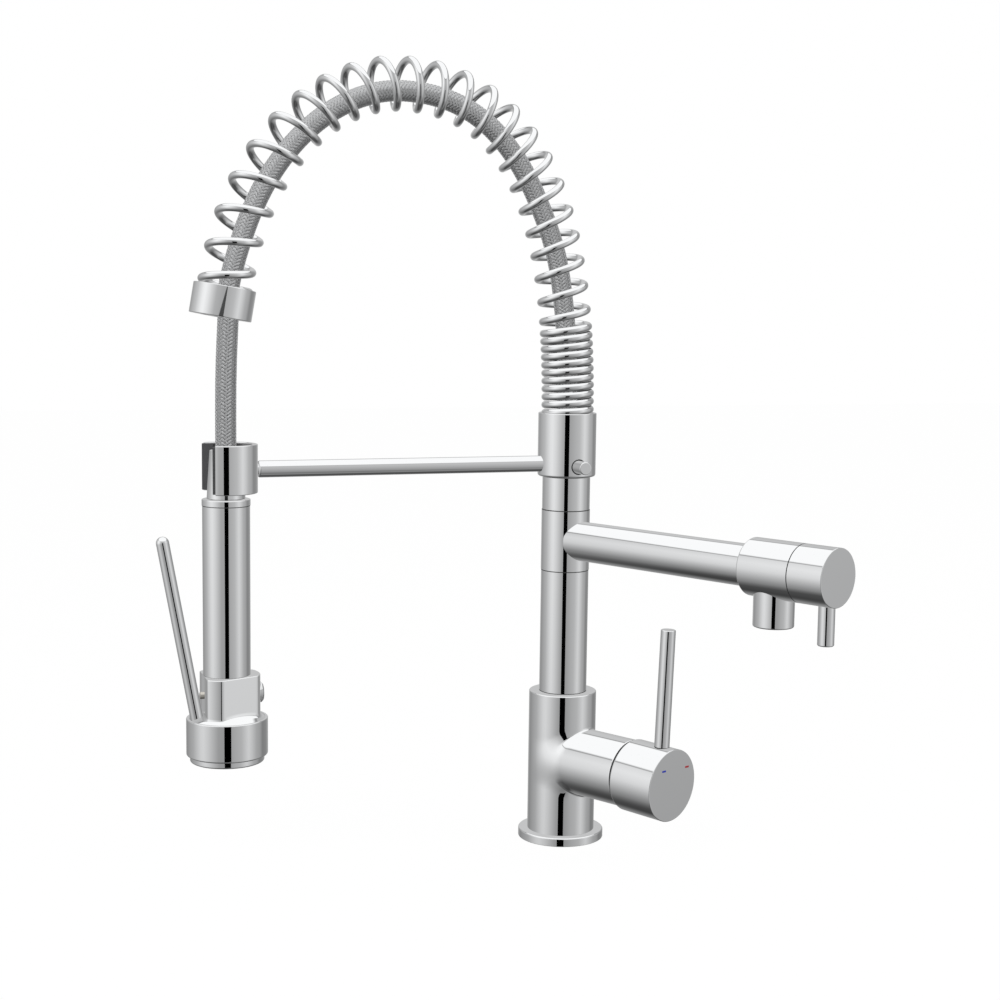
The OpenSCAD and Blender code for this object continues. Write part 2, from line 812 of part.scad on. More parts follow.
module hose_tail() {
    bottom = tail_top - tail_len;
    groove_r = tail_r - oring_wire - fixed_gap;
    color(brass) difference() {
        union() {
            translate([0, 0, bottom]) cylinder(r = tail_r, h = tail_len);
            translate([0, 0, tail_top]) cylinder(r = tail_head_r, h = web_t);
        }
        translate([0, 0, bottom - cut]) cylinder(r = hose_bore_r, h = tail_len + web_t + 2 * cut);
        translate([0, 0, bottom + tail_len / 2 - oring_wire]) ring_of(tail_r + cut, groove_r, 2 * oring_wire);
    }
}

module tail_o_ring() {
    color(black) translate([0, 0, tail_top - tail_len / 2]) o_ring(tail_r - oring_wire / 2, oring_wire);
}

module upper_ferrule() {
    inner_r = hose_r + fixed_gap;
    color(chrome) translate([0, 0, recess_floor]) ring_of(inner_r + ferrule_wall, inner_r, ferrule_len);
}

module lock_screw() {
    shank_start = neck_spigot_r + face_gap;
    knob_start = collar_d / 2 - lock_recess + face_gap;
    color(chrome) rotate([0, 0, 180 + lock_turn_from_arm]) translate([0, 0, collar_bottom + lock_rise])
        rotate([0, 90, 0]) {
            translate([0, 0, shank_start]) cylinder(r = lock_shank_r, h = knob_start - shank_start + edge);
            translate([0, 0, knob_start]) chamfered(lock_d / 2, lock_reach - knob_start, 0, edge);
        }
}

// Spring and hose
// The arch lies in the XZ plane, and is worked out with x positive away from the column.

arch_start = [0, collar_top];
arch_top = [arm_reach * arch_top_share, collar_top + arch_rise];
arch_end = [arm_reach, arch_top[1] - end_drop];
end_way = [sin(arch_end_lean), -cos(arch_end_lean)];
half_a = [arch_start,
    arch_start + [0, arch_start_share * arch_rise],
    arch_top - [arch_before_share * arch_top[0], 0],
    arch_top];
half_b = [arch_top,
    arch_top + [arch_after_share * arch_top[0], 0],
    arch_end - arch_end_share * end_drop * end_way,
    arch_end];

function mix(a, b, t) = (1 - t) * a + t * b;
function bezier_step(p, t) = [for (i = [0 : len(p) - 2]) mix(p[i], p[i + 1], t)];
function bezier(p, t) = len(p) == 1 ? p[0] : bezier(bezier_step(p, t), t);
function bezier_way(p, t) = len(p) == 2 ? p[1] - p[0] : bezier_way(bezier_step(p, t), t);
function unit(v) = v / norm(v);
function total(list, i = 0, sum = 0) = i < len(list) ? total(list, i + 1, sum + list[i]) : sum;

// Points along the arch at even steps of the curve's parameter, with the length up to each
arch_steps = 80;
arch_points = concat([for (i = [0 : arch_steps - 1]) bezier(half_a, i / arch_steps)],
    [for (i = [0 : arch_steps]) bezier(half_b, i / arch_steps)]);
arch_ways = concat([for (i = [0 : arch_steps - 1]) unit(bezier_way(half_a, i / arch_steps))],
    [for (i = [0 : arch_steps]) unit(bezier_way(half_b, i / arch_steps))]);
arch_spans = [for (i = [0 : 2 * arch_steps]) i == 0 ? 0 : norm(arch_points[i] - arch_points[i - 1])];
function running(list, i = 0, sum = 0, out = []) =
    i < len(list) ? running(list, i + 1, sum + list[i], concat(out, [sum + list[i]])) : out;
arch_lengths = running(arch_spans);
arch_len = arch_lengths[2 * arch_steps];

function span_at(s, low = 0, high = 2 * arch_steps) =
    high - low <= 1 ? low
    : let (mid = floor((low + high) / 2))
        arch_lengths[mid] > s ? span_at(s, low, mid) : span_at(s, mid, high);
function point_at(s) =
    s <= 0 ? arch_start + [0, s]
    : s >= arch_len ? arch_end + (s - arch_len) * end_way
    : let (i = span_at(s), f = (s - arch_lengths[i]) / (arch_lengths[i + 1] - arch_lengths[i]))
        mix(arch_points[i], arch_points[i + 1], f);
function way_at(s) =
    s <= 0 ? [0, 1]
    : s >= arch_len ? end_way
    : let (i = span_at(s), f = (s - arch_lengths[i]) / (arch_lengths[i + 1] - arch_lengths[i]))
        unit(mix(arch_ways[i], arch_ways[i + 1], f));
function out_at(s) = let (w = way_at(s)) [-w[1], w[0]];

// Length along the arch after n turns: tight first, then open with a pitch that grows, then one closing turn
tang_len = tang_share * wire_d;
spring_start = recess_floor - collar_top + face_gap + tang_len;
spring_end = arch_len + end_collar_recess - face_gap - tang_len;
tight_len = tight_turns * tight_pitch;
close_len = end_turns * tight_pitch;
open_len = spring_end - spring_start - tight_len - close_len;
open_first = 2 * open_len / open_turns / (1 + open_growth_ratio);
open_last = open_first * open_growth_ratio;
all_turns = tight_turns + open_turns + end_turns;
function length_after(n) =
    n <= tight_turns ? n * tight_pitch
    : n <= tight_turns + open_turns
        ? let (m = n - tight_turns) tight_len + m * open_first + m * m * (open_last - open_first) / open_turns / 2
    : tight_len + open_len + (n - tight_turns - open_turns) * tight_pitch;

// A point at distance out from the arch, at angle a round it, and back in three dimensions
function round_arch(s, out, a) =
    let (p = point_at(s), o = out_at(s), r = out * cos(a))
        [-(p[0] + r * o[0]), out * sin(a), p[1] + r * o[1]];
function curl_point(n) = round_arch(spring_start + length_after(n), spring_r, spring_phase + 360 * n);
curl_points = [for (i = [0 : ceil(all_turns * curl_rings)]) curl_point(min(i / curl_rings, all_turns))];

// Each end turns square into its seat and runs straight for one wire diameter
function tang(n, side) =
    let (s = spring_start + length_after(n), a = spring_phase + 360 * n)
        [for (k = [1, 3, 5]) round_arch(s + side * tang_len * k / 5, spring_r, a + side * tang_turn)];
start_tang = tang(0, -1);
wire_route = concat([start_tang[2], start_tang[1], start_tang[0]], curl_points, tang(all_turns, 1));

function route_way(route, i) =
    i == 0 ? unit(route[1] - route[0])
    : i == len(route) - 1 ? unit(route[i] - route[i - 1])
    : unit(unit(route[i + 1] - route[i]) + unit(route[i] - route[i - 1]));

// Sides are carried from ring to ring, so that the tube doesn't twist
function first_side(way) = unit(cross(way, abs(way[1]) < 0.9 ? [0, 1, 0] : [1, 0, 0]));
function carried(side, way) = unit(side - (side * way) * way);
function sides_along(ways, i = 0, out = []) =
    i == len(ways) ? out
    : sides_along(ways, i + 1, concat(out, [i == 0 ? first_side(ways[0]) : carried(out[i - 1], ways[i])]));

function tube_points(route, r, sides) =
    let (ways = [for (i = [0 : len(route) - 1]) route_way(route, i)], across = sides_along(ways))
        [for (i = [0 : len(route) - 1], k = [0 : sides - 1])
            let (up = cross(ways[i], across[i]), a = 360 * k / sides)
                route[i] + r * (cos(a) * across[i] + sin(a) * up)];
function tube_faces(rings, sides) = concat(
    [[for (k = [0 : sides - 1]) k]],
    [[for (k = [0 : sides - 1]) (rings - 1) * sides + sides - 1 - k]],
    [for (i = [0 : rings - 2], k = [0 : sides - 1])
        [i * sides + k, (i + 1) * sides + k, (i + 1) * sides + (k + 1) % sides]],
    [for (i = [0 : rings - 2], k = [0 : sides - 1])
        [i * sides + k, (i + 1) * sides + (k + 1) % sides, i * sides + (k + 1) % sides]]);

module swept_tube(route, r, sides) {
    polyhedron(points = tube_points(route, r, sides), faces = tube_faces(len(route), sides), convexity = 10);
}

// Least gap from one turn's surface to the next, on the points of the tube
wire_points = tube_points(wire_route, wire_d / 2, wire_sides);
wire_rings = len(wire_route);
least_gap = min([for (i = [0 : wire_rings - curl_rings - 1], k = [0 : wire_sides - 1], m = [0 : wire_sides - 1],
    near = [max(curl_rings - 1, 0), curl_rings])
    norm(wire_points[i * wire_sides + k] - wire_points[(i + near) * wire_sides + m])]);
echo(spring_least_gap = least_gap);

module spring() {
    color(chrome) swept_tube(wire_route, wire_d / 2, wire_sides);
}

// The hose leans on the inner side of the spring over the arch
function ease(x) = let (c = min(max(x, 0), 1)) c * c * (3 - 2 * c);
function hose_lean(s) =
    let (start = hose_side_start_share, full = hose_side_full_share)
        hose_side * ease((s / arch_len - start) / (full - start));
hose_first = recess_floor - collar_top;
hose_count = round((arch_len - hose_first) / (hose_ring_diameters * hose_d));
hose_seam_z = arch_end[1] - end_collar_h;
hose_route = concat(
    [for (i = [0 : hose_count]) let (s = hose_first + (arch_len - hose_first) * i / hose_count)
        round_arch(s, -hose_lean(s), 0)],
    [[-arm_reach, 0, hose_seam_z + hose_r], [-arm_reach, 0, hose_seam_z]]);

module hose_upper() {
    color(braid) swept_tube(hose_route, hose_r, hose_sides);
}

module hose_lower() {
    bottom = cone_base_z + cone_h - lower_ferrule_h;
    color(braid) translate([-arm_reach, 0, bottom]) cylinder(r = hose_r, h = hose_seam_z - bottom);
}

module at_end_collar() {
    translate([-arch_end[0], 0, arch_end[1]]) rotate([0, end_collar_lean, 0]) translate([0, 0, -end_collar_h]) children();
}

module spring_end_collar() {
    color(chrome) at_end_collar() difference() {
        chamfered(end_collar_d / 2, end_collar_h, edge, edge / 2);
        translate([0, 0, -cut]) cylinder(r = end_bore_r, h = end_collar_h);
        translate([0, 0, end_collar_h - end_collar_recess]) cylinder(r = spring_d / 2 + recess_side, h = end_collar_h);
    }
}

// Rod and clip

module support_rod() {
    clip_r = clip_d / 2;
    start = neck_spigot_r + rod_seat;
    rod_end = arm_reach - clip_r - face_gap;
    color(chrome) translate([0, 0, rod_z]) rotate([0, -90, 0]) {
        translate([0, 0, start]) chamfered(rod_d / 2, rod_end - start, 0, 2 * edge);
        translate([0, 0, rod_end]) cylinder(r = rod_spigot_r, h = rod_spigot_len);
    }
}

clip_bottom = rod_z - clip_drop;

module at_clip() {
    at_spray() rotate([0, 0, clip_twist]) children();
}

module clip_arc(outer_r, inner_r, h, gap_angle) {
    rotate([0, 0, gap_angle / 2]) rotate_extrude(angle = 360 - gap_angle)
        polygon([[inner_r, 0], [outer_r - edge, 0], [outer_r, edge], [outer_r, h - edge], [outer_r - edge, h], [inner_r, h]]);
}

module holder_clip() {
    clip_r = clip_d / 2;
    color(chrome) difference() {
        translate([0, 0, clip_bottom]) at_clip() clip_arc(clip_r, clip_r - clip_wall, clip_h, clip_mouth_angle);
        translate([0, 0, rod_z]) rotate([0, -90, 0]) cylinder(r = rod_spigot_r + fixed_gap, h = arm_reach);
    }
}

// The liner is a split sleeve with a tapered bore, and its two lips cover the ends of the clip
module clip_liner() {
    outer_r = clip_d / 2 - clip_wall - fixed_gap;
    taper = (cone_base_r - cone_top_r) / cone_h;
    low_r = cone_base_r + liner_gap + taper * (cone_base_z - clip_bottom);
    high_r = low_r - taper * clip_h;
    lip_out = clip_d / 2 - edge;
    lip_angle = lip_t / lip_out * 180 / PI;
    gap_angle = clip_mouth_angle - 2 * lip_angle;
    top = clip_h - edge;
    color(black) translate([0, 0, clip_bottom]) at_clip() difference() {
        rotate([0, 0, gap_angle / 2]) rotate_extrude(angle = 360 - gap_angle)
            polygon([[low_r, edge], [lip_out, edge], [lip_out, top], [high_r, top]]);
        rotate([0, 0, clip_mouth_angle / 2]) rotate_extrude(angle = 360 - clip_mouth_angle)
            translate([outer_r, -cut]) square([clip_wall + cut, clip_h + 2 * cut]);
    }
}

// Hand spray

module lower_ferrule() {
    ferrule_r = hose_r + fixed_gap;
    color(chrome) translate([0, 0, cone_base_z + cone_h - lower_ferrule_h]) at_spray()
        ring_of(ferrule_r + wall_thin, ferrule_r, lower_ferrule_h - edge);
}

module swivel_cone() {
    seat_r = hose_r + wall_thin + 2 * fixed_gap;
    neck_bottom_z = cone_base_z - cone_neck_h;
    color(chrome) at_spray() difference() {
        union() {
            translate([0, 0, cone_base_z]) cylinder(r1 = cone_base_r, r2 = cone_top_r, h = cone_h - edge);
            translate([0, 0, cone_base_z + cone_h - edge]) cylinder(r1 = cone_top_r, r2 = cone_top_r - edge, h = edge);
            translate([0, 0, neck_bottom_z]) cylinder(r = cone_neck_r, h = cone_neck_h + cut);
            translate([0, 0, neck_bottom_z - cone_flange_h]) cylinder(r = cone_flange_r, h = cone_flange_h);
        }
        translate([0, 0, cone_base_z + cone_h - lower_ferrule_h - fixed_gap]) cylinder(r = seat_r, h = cone_h);
        translate([0, 0, neck_bottom_z - cone_flange_h - cut])
            cylinder(r = hose_bore_r, h = cone_h + cone_neck_h + cone_flange_h);
    }
}

module grip_ring() {
    thread_r = grip_d / 2 - wall_thin - fixed_gap;
    color(chrome) at_spray() difference() {
        union() {
            translate([0, 0, grip_top]) chamfered(grip_d / 2 + grip_ring_over, grip_ring_h, edge / 2, edge);
            translate([0, 0, grip_top - grip_ring_thread]) cylinder(r = thread_r, h = grip_ring_thread + cut);
        }
        translate([0, 0, grip_top - grip_ring_thread - cut])
            cylinder(r = cone_neck_r + run_gap, h = grip_ring_thread + grip_ring_h + 2 * cut);
    }
}

module grip_tube() {
    color(chrome) translate([0, 0, grip_bottom + fixed_gap]) at_spray()
        ring_of(grip_d / 2, grip_d / 2 - wall_thin, grip_len - 2 * fixed_gap);
}

valve_z = block_bottom + valve_rise;
pivot_z = block_bottom - pivot_drop;

module water_tube() {
    top = cone_base_z - cone_neck_h - cone_flange_h - face_gap;
    bottom = grip_bottom + fixed_gap;
    color(white_plastic) translate([0, 0, bottom]) at_spray() ring_of(water_r, water_r - wall, top - bottom);
}

module block_outline() {
    block_r = block_d / 2;
    intersection() {
        circle(r = block_r);
        translate([-block_d, -block_d]) square([block_d + block_front_reach, 2 * block_d]);
        rotate(block_flat_angle) translate([-block_d, -block_d]) square([block_d + block_flat, 2 * block_d]);
        rotate(-block_flat_angle) translate([-block_d, -block_d]) square([block_d + block_flat, 2 * block_d]);
    }
}

module valve_block() {
    block_r = block_d / 2;
    base_bottom = block_bottom - block_base_h;
    thread_r = grip_d / 2 - wall_thin - fixed_gap;
    slot_len = block_d;
    color(chrome) at_spray() difference() {
        union() {
            translate([0, 0, block_bottom - block_shoulder]) linear_extrude(block_h + block_shoulder) block_outline();
            translate([0, 0, base_bottom]) cylinder(r = block_base_r, h = block_base_h - block_shoulder);
            translate([0, 0, block_bottom - block_shoulder]) cylinder(r1 = block_base_r, r2 = block_r, h = block_shoulder * 2);
            translate([0, 0, base_bottom - block_spigot_h]) cylinder(r = block_spigot_r, h = block_spigot_h + cut);
            translate([0, 0, grip_bottom - cut]) cylinder(r = thread_r, h = grip_thread + cut);
        }
        translate([0, 0, grip_bottom]) cylinder(r = water_r + fixed_gap, h = grip_thread + cut);
        translate([0, 0, base_bottom - block_spigot_h - cut]) cylinder(r = water_r - wall, h = block_h * 2);
        translate([slot_floor, -slot_half_w, block_bottom + block_shoulder])
            cube([slot_len, 2 * slot_half_w, block_h - block_shoulder]);
        translate([pocket_floor, -pocket_half_w, pivot_z - pocket_depth]) cube([slot_len, 2 * pocket_half_w, block_h]);
        translate([0, 0, valve_z]) rotate([0, 90, 0]) cylinder(r = plunger_r + run_gap, h = block_d);
        translate([chamber_start, 0, valve_z]) rotate([0, -90, 0]) cylinder(r = chamber_r, h = block_d);
        translate([pivot_out, 0, pivot_z]) rotate([90, 0, 0])
            cylinder(r = pin_r + fixed_gap, h = pin_len + face_gap, center = true);
    }
}

module end_screw() {
    seat = block_d / 2 - edge;
    color(chrome) at_spray() translate([0, 0, valve_z]) rotate([0, -90, 0]) difference() {
        union() {
            translate([0, 0, seat - end_screw_in]) cylinder(r = chamber_r - fixed_gap, h = end_screw_in);
            translate([0, 0, block_d / 2 + fixed_gap]) chamfered(end_screw_r, end_screw_proud, 0, 2 * edge);
            translate([0, 0, seat - fixed_gap]) cylinder(r = chamber_r - fixed_gap, h = edge + cut);
        }
        translate([0, 0, block_d / 2 + end_screw_proud - end_screw_key / 2])
            cylinder(d = end_screw_key, h = end_screw_key, $fn = 6);
    }
}

module valve_spring() {
    start = block_d / 2 - edge - end_screw_in - valve_spring_len;
    color(chrome) at_spray() translate([0, 0, valve_z]) rotate([0, -90, 0]) translate([0, 0, start])
        ring_of(poppet_r - fixed_gap, poppet_r - wall_thin, valve_spring_len);
}

module pivot_pin() {
    color(chrome) at_spray() translate([pivot_out, 0, pivot_z]) rotate([90, 0, 0])
        cylinder(r = pin_r, h = pin_len, center = true);
}

module spray_head() {
    head_r = head_d / 2;
    seat_z = block_bottom - block_base_h;
    color(chrome) at_spray() difference() {
        translate([0, 0, head_bottom]) chamfered(head_r, head_h, 2 * edge, edge);
        translate([0, 0, seat_z - fixed_gap]) cylinder(r = block_base_r + fixed_gap, h = head_h);
        translate([0, 0, head_bottom]) cylinder(r = block_spigot_r + fixed_gap, h = head_h);
        translate([0, 0, head_bottom - cut])
            cylinder(r = head_r - face_ring_step - wall_thin, h = head_h - block_base_h - 2 * head_wall + cut);
    }
}

module face_ring() {
    ring_r = head_d / 2 - face_ring_step;
    thread_r = ring_r - wall_thin - fixed_gap;
    bottom = head_bottom - face_ring_h;
    color(chrome) at_spray() difference() {
        union() {
            translate([0, 0, bottom]) chamfered(ring_r, face_ring_h - fixed_gap, 2 * edge, 0);
            translate([0, 0, bottom + edge]) cylinder(r = thread_r, h = face_ring_h + face_ring_thread);
        }
        translate([0, 0, bottom - cut]) cylinder(r = ring_r - face_ring_w, h = face_ring_h + face_ring_thread + 2 * cut);
    }
}

module spray_face() {
    face_r = head_d / 2 - face_ring_step - face_ring_w - fixed_gap;
    color(black) translate([0, 0, head_bottom - face_ring_h + face_sink]) at_spray() difference() {
        cylinder(r = face_r, h = face_t);
        for (lap = [1 : face_laps], hole = [0 : lap_holes * lap - 1]) rotate([0, 0, hole * 360 / lap_holes / lap])
            translate([face_r * lap / (face_laps + 1), 0, -cut]) cylinder(r = face_hole_r, h = face_t + 2 * cut, $fn = 16);
    }
}

module trigger_lever() {
    trigger_r = trigger_d / 2;
    color(chrome) at_spray() translate([pivot_out, 0, pivot_z]) rotate([0, trigger_lean, 0]) difference() {
        union() {
            translate([0, 0, -trigger_tail]) chamfered(trigger_r, trigger_tail + trigger_len - trigger_r, edge * 2, 0);
            translate([0, 0, trigger_len - trigger_r]) sphere(r = trigger_r);
        }
        rotate([90, 0, 0]) cylinder(r = pin_r + run_gap, h = trigger_d + cut, center = true);
    }
}

module valve_plunger() {
    reach = pivot_out + (valve_z - pivot_z) * tan(trigger_lean) - trigger_d / 2 / cos(trigger_lean) - face_gap;
    color(brass) at_spray() translate([0, 0, valve_z]) rotate([0, 90, 0]) {
        chamfered(plunger_r, reach, 0, edge);
        translate([0, 0, -poppet_t]) cylinder(r = poppet_r, h = poppet_t);
    }
}

base_gasket();
base_flange();
mixer_body();
lower_column();
core_tube();
core_o_rings();
bearing_washers();
upper_neck();
cartridge_base();
cartridge_seals();
cartridge_body();
fixed_disc();
cartridge_nut();
moving_disc();
cartridge_carrier();
stem_pin();
cartridge_stem();
handle_cap();
mixer_lever();
grub_screw();
cold_mark();
hot_mark();
spout_ring();
spout_tube();
valve_housing();
headwork_body();
outlet_nozzle();
aerator_washer();
aerator_insert();
headwork_spindle();
spout_cap();
spout_lever();
arm_washer();
top_collar();
hose_tail();
tail_o_ring();
upper_ferrule();
lock_screw();
spring();
hose_upper();
hose_lower();
spring_end_collar();
support_rod();
holder_clip();
clip_liner();
lower_ferrule();
swivel_cone();
grip_ring();
grip_tube();
water_tube();
valve_block();
end_screw();
valve_spring();
pivot_pin();
spray_head();
face_ring();
spray_face();
trigger_lever();
valve_plunger();
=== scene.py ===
# %% [markdown]
# # A pull-out kitchen faucet with a spring arch
# The real faucet is brass, turned and cast, then polished and chrome plated. Its column carries a mixer
# with an upright lever, a swivelling pot filler, and a spring arch with a braided hose that ends in a hand
# spray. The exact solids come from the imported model. This script loads them as a fixed frame, and dresses
# them with finer pieces: rounded edges, cast fillets, a smooth spring and a woven hose. Sizes below are in
# millimetres.

# %% Load the frame
import json
import math

import bpy
import numpy as np
from mathutils import Matrix, Vector
from mathutils.bvhtree import BVHTree
from mathutils.geometry import tessellate_polygon
from mathutils.interpolate import poly_3d_calc

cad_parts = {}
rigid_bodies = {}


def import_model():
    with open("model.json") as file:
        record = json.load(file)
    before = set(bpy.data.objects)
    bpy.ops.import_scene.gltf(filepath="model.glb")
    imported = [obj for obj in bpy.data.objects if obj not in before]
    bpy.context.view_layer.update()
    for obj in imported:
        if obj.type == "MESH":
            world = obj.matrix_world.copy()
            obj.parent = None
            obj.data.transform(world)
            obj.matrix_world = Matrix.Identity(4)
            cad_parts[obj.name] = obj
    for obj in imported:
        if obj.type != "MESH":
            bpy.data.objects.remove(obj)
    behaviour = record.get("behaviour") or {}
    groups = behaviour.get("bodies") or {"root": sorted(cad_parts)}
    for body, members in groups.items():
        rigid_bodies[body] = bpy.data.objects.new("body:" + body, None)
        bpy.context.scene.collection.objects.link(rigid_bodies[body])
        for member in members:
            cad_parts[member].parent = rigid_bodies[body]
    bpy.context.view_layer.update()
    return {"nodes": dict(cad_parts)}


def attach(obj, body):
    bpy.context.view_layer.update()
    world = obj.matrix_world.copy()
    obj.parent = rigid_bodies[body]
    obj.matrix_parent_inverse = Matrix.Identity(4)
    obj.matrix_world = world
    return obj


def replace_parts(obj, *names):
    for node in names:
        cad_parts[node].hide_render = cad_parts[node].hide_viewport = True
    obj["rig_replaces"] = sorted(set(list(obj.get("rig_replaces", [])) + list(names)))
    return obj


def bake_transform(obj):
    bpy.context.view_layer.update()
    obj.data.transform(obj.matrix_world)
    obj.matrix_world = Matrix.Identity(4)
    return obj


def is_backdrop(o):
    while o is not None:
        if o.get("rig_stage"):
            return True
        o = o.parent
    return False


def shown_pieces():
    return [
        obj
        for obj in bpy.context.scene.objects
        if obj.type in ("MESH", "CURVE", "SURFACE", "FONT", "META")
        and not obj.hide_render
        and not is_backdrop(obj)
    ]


MM = 0.001
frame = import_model()

# %% [markdown]
# ## The camera
# The photograph was taken from the front, a little to the left of the arch's plane and a little above the
# spout, from about a metre away. Its lens and place were worked out from the upright and level edges of the
# column.

# %% Camera
EYE = Vector((-369.6, -948.9, 318.6)) * MM
PITCH = math.radians(6.55)
ROLL = math.radians(-0.75)
LENS = 62.68

ahead = Vector((0.3272, 0.9450, 0)).normalized()
forward = ahead * math.cos(PITCH) - Vector((0, 0, 1)) * math.sin(PITCH)
level_right = forward.cross(Vector((0, 0, 1))).normalized()
level_up = level_right.cross(forward)
right = level_right * math.cos(ROLL) - level_up * math.sin(ROLL)
up = right.cross(forward)
camera_data = bpy.data.cameras.new("photo_camera")
camera_data.lens = LENS
camera_data.sensor_width = 36


def put(name, data):
    """A new object in the scene."""
    made = bpy.data.objects.new(name, data)
    bpy.context.scene.collection.objects.link(made)
    return made


camera = put("photo_camera", camera_data)
turn = Matrix((right, up, -forward)).transposed().to_4x4()
camera.matrix_world = Matrix.Translation(EYE) @ turn
bpy.context.scene.camera = camera
print("camera at", tuple(round(v, 3) for v in EYE), "lens", LENS)

# %% [markdown]
# ## Colours and shader nodes
# A colour is written as the sRGB hex value that a picture editor shows, and one function turns it to the
# linear numbers that a shader needs. The others add a shader node with its settings and links: any node, a
# sum, a mix of two colours, or a ramp of colours.

# %% Colour and node helpers
def linear(hex_colour):
    """A hex sRGB colour such as "ECEDEE" as linear red, green, blue and alpha."""
    parts = [int(hex_colour[i : i + 2], 16) / 255 for i in (0, 2, 4)]
    return [p / 12.92 if p <= 0.04045 else ((p + 0.055) / 1.055) ** 2.4 for p in parts] + [1]


def add(tree, kind, inputs=(), **settings):
    """Adds a shader node. An input is a plain value, or the output of another node to link to it."""
    made = tree.nodes.new("ShaderNode" + kind)
    for name, value in settings.items():
        setattr(made, name, value)
    for key, value in dict(inputs).items():
        if isinstance(value, bpy.types.NodeSocket):
            tree.links.new(value, made.inputs[key])
        else:
            made.inputs[key].default_value = value
    return made


def calc(tree, operation, *values):
    """The result of a sum, product or other function of values or other nodes' outputs."""
    return add(tree, "Math", dict(enumerate(values)), operation=operation).outputs[0]


def mix(tree, share, one, two, **how):
    """One colour that turns into another as the share goes from 0 to 1."""
    return add(tree, "Mix", {0: share, 6: one, 7: two}, data_type="RGBA", **how).outputs[2]


def ramp(tree, place, stops):
    """A colour that follows a place from 0 to 1, by way of stops (place, linear colour)."""
    made = add(tree, "ValToRGB", {0: place})
    elements = made.color_ramp.elements
    while len(elements) > 1:
        elements.remove(elements[-1])
    elements[0].position, elements[0].color = stops[0]
    for at, colour in stops[1:]:
        elements.new(at).color = colour
    return made.outputs[0]


# %% [markdown]
# ## The studio
# Polished chrome has hardly a colour of its own: what it shows is the room. Each strip of an upright or
# level cylinder mirrors one direction, so the photograph tells what the room was like. It is a white
# ceiling, soft panels on both sides and dimmer ones behind, a floor that falls off to dark grey, and a dark
# upright gap where the camera stands. The world's light holds all but that gap, by compass direction and
# height.

# %% World: compass and height
world = bpy.data.worlds.new("photo_studio")
bpy.context.scene.world = world
world.use_nodes = True
air = world.node_tree
air.nodes.clear()
where = add(air, "TexCoord").outputs["Generated"]
xyz = add(air, "SeparateXYZ", {0: where}).outputs
bearing = calc(air, "ARCTAN2", xyz["Y"], xyz["X"])
compass = calc(air, "MULTIPLY_ADD", bearing, 1 / math.tau, 0.5)
rise = calc(air, "ARCSINE", xyz["Z"])
height = calc(air, "MULTIPLY_ADD", rise, 1 / math.pi, 0.5)


def grey(level):
    """A linear grey as a colour."""
    return [level, level, level, 1]


# Bearing in degrees from +X, and a grey at eye height: a bright panel on the left, one in front on the
# right and one behind, with dimmer corners between them
PANELS = [
    (-180, "E4"), (-170, "E8"), (-155, "DA"), (-125, "AA"), (-100, "A0"), (-60, "B8"), (-37, "D8"),
    (-25, "CC"), (-10, "B2"), (5, "A6"), (18, "88"), (40, "90"), (70, "B8"), (90, "B4"), (105, "96"),
    (150, "BA"), (180, "E4"),
]
# Height in degrees, and the light there as a share of that at eye height
FALL = [
    (-90, 0.17), (-52, 0.15), (-42, 0.40), (-35, 0.48), (-20, 0.70), (-5, 0.95), (0, 1.0),
    (34.2, 1.0), (34.8, 0.55), (36.8, 0.55), (37.4, 1.0), (90, 1.0),
]
around = ramp(air, compass, [((a + 180) / 360, linear(h * 3)) for a, h in PANELS])
falling = ramp(air, height, [(a / 180 + 0.5, grey(v)) for a, v in FALL])
# The floor on the right is lighter, so the light falls off less there
DEPTH = [(-180, 1.0), (-112, 1.0), (-80, 0.5), (-42, 0.5), (-22, 0.8), (40, 0.8), (80, 1.0), (180, 1.0)]
deeper = ramp(air, compass, [((a + 180) / 360, grey(v)) for a, v in DEPTH])
share_left = calc(air, "POWER", falling, deeper)
# The panels are a little brighter above eye height
above = add(air, "MapRange", {0: height, 1: 0.5, 2: 0.6, 3: 1.0, 4: 1.14}).outputs[0]
share_left = calc(air, "MULTIPLY", share_left, above)
sides = mix(air, 1.0, around, share_left, blend_type="MULTIPLY")
ceiling = add(air, "MapRange", {0: height, 1: 37.2 / 180 + 0.5, 2: 39.5 / 180 + 0.5}).outputs[0]
room = mix(air, ceiling, sides, linear("FAFAFA"))
print("panels", len(PANELS), "height steps", len(FALL))

# %% World: what each kind of ray sees
# The camera sees plain white, diffuse surfaces get plain soft light, and polished metal mirrors the room.
PLATING_SHARE = 0.88
seen = add(air, "LightPath").outputs
mirrored = add(air, "Background", {0: room, 1: 1 / PLATING_SHARE}).outputs[0]
soft = add(air, "Background", {0: linear("FFFFFF"), 1: 0.7}).outputs[0]
white = add(air, "Background", {0: linear("FFFFFF"), 1: 1.0}).outputs[0]
direct = calc(air, "MAXIMUM", seen["Is Camera Ray"], seen["Is Transmission Ray"])
for_object = add(air, "MixShader", {0: seen["Is Diffuse Ray"], 1: mirrored, 2: soft}).outputs[0]
sky = add(air, "MixShader", {0: direct, 1: for_object, 2: white}).outputs[0]
add(air, "OutputWorld", {0: sky})
print("world with", len(air.nodes), "shader nodes")


# %% [markdown]
# ## Lamps, floor and the dark gap
# Two large soft lamps light what isn't metal. The floor is pale and keeps a faint shadow, but the metal
# doesn't mirror it, because the photograph's faucet hung free. The dark gap is a black card at the camera's
# distance, which only mirrors can see.

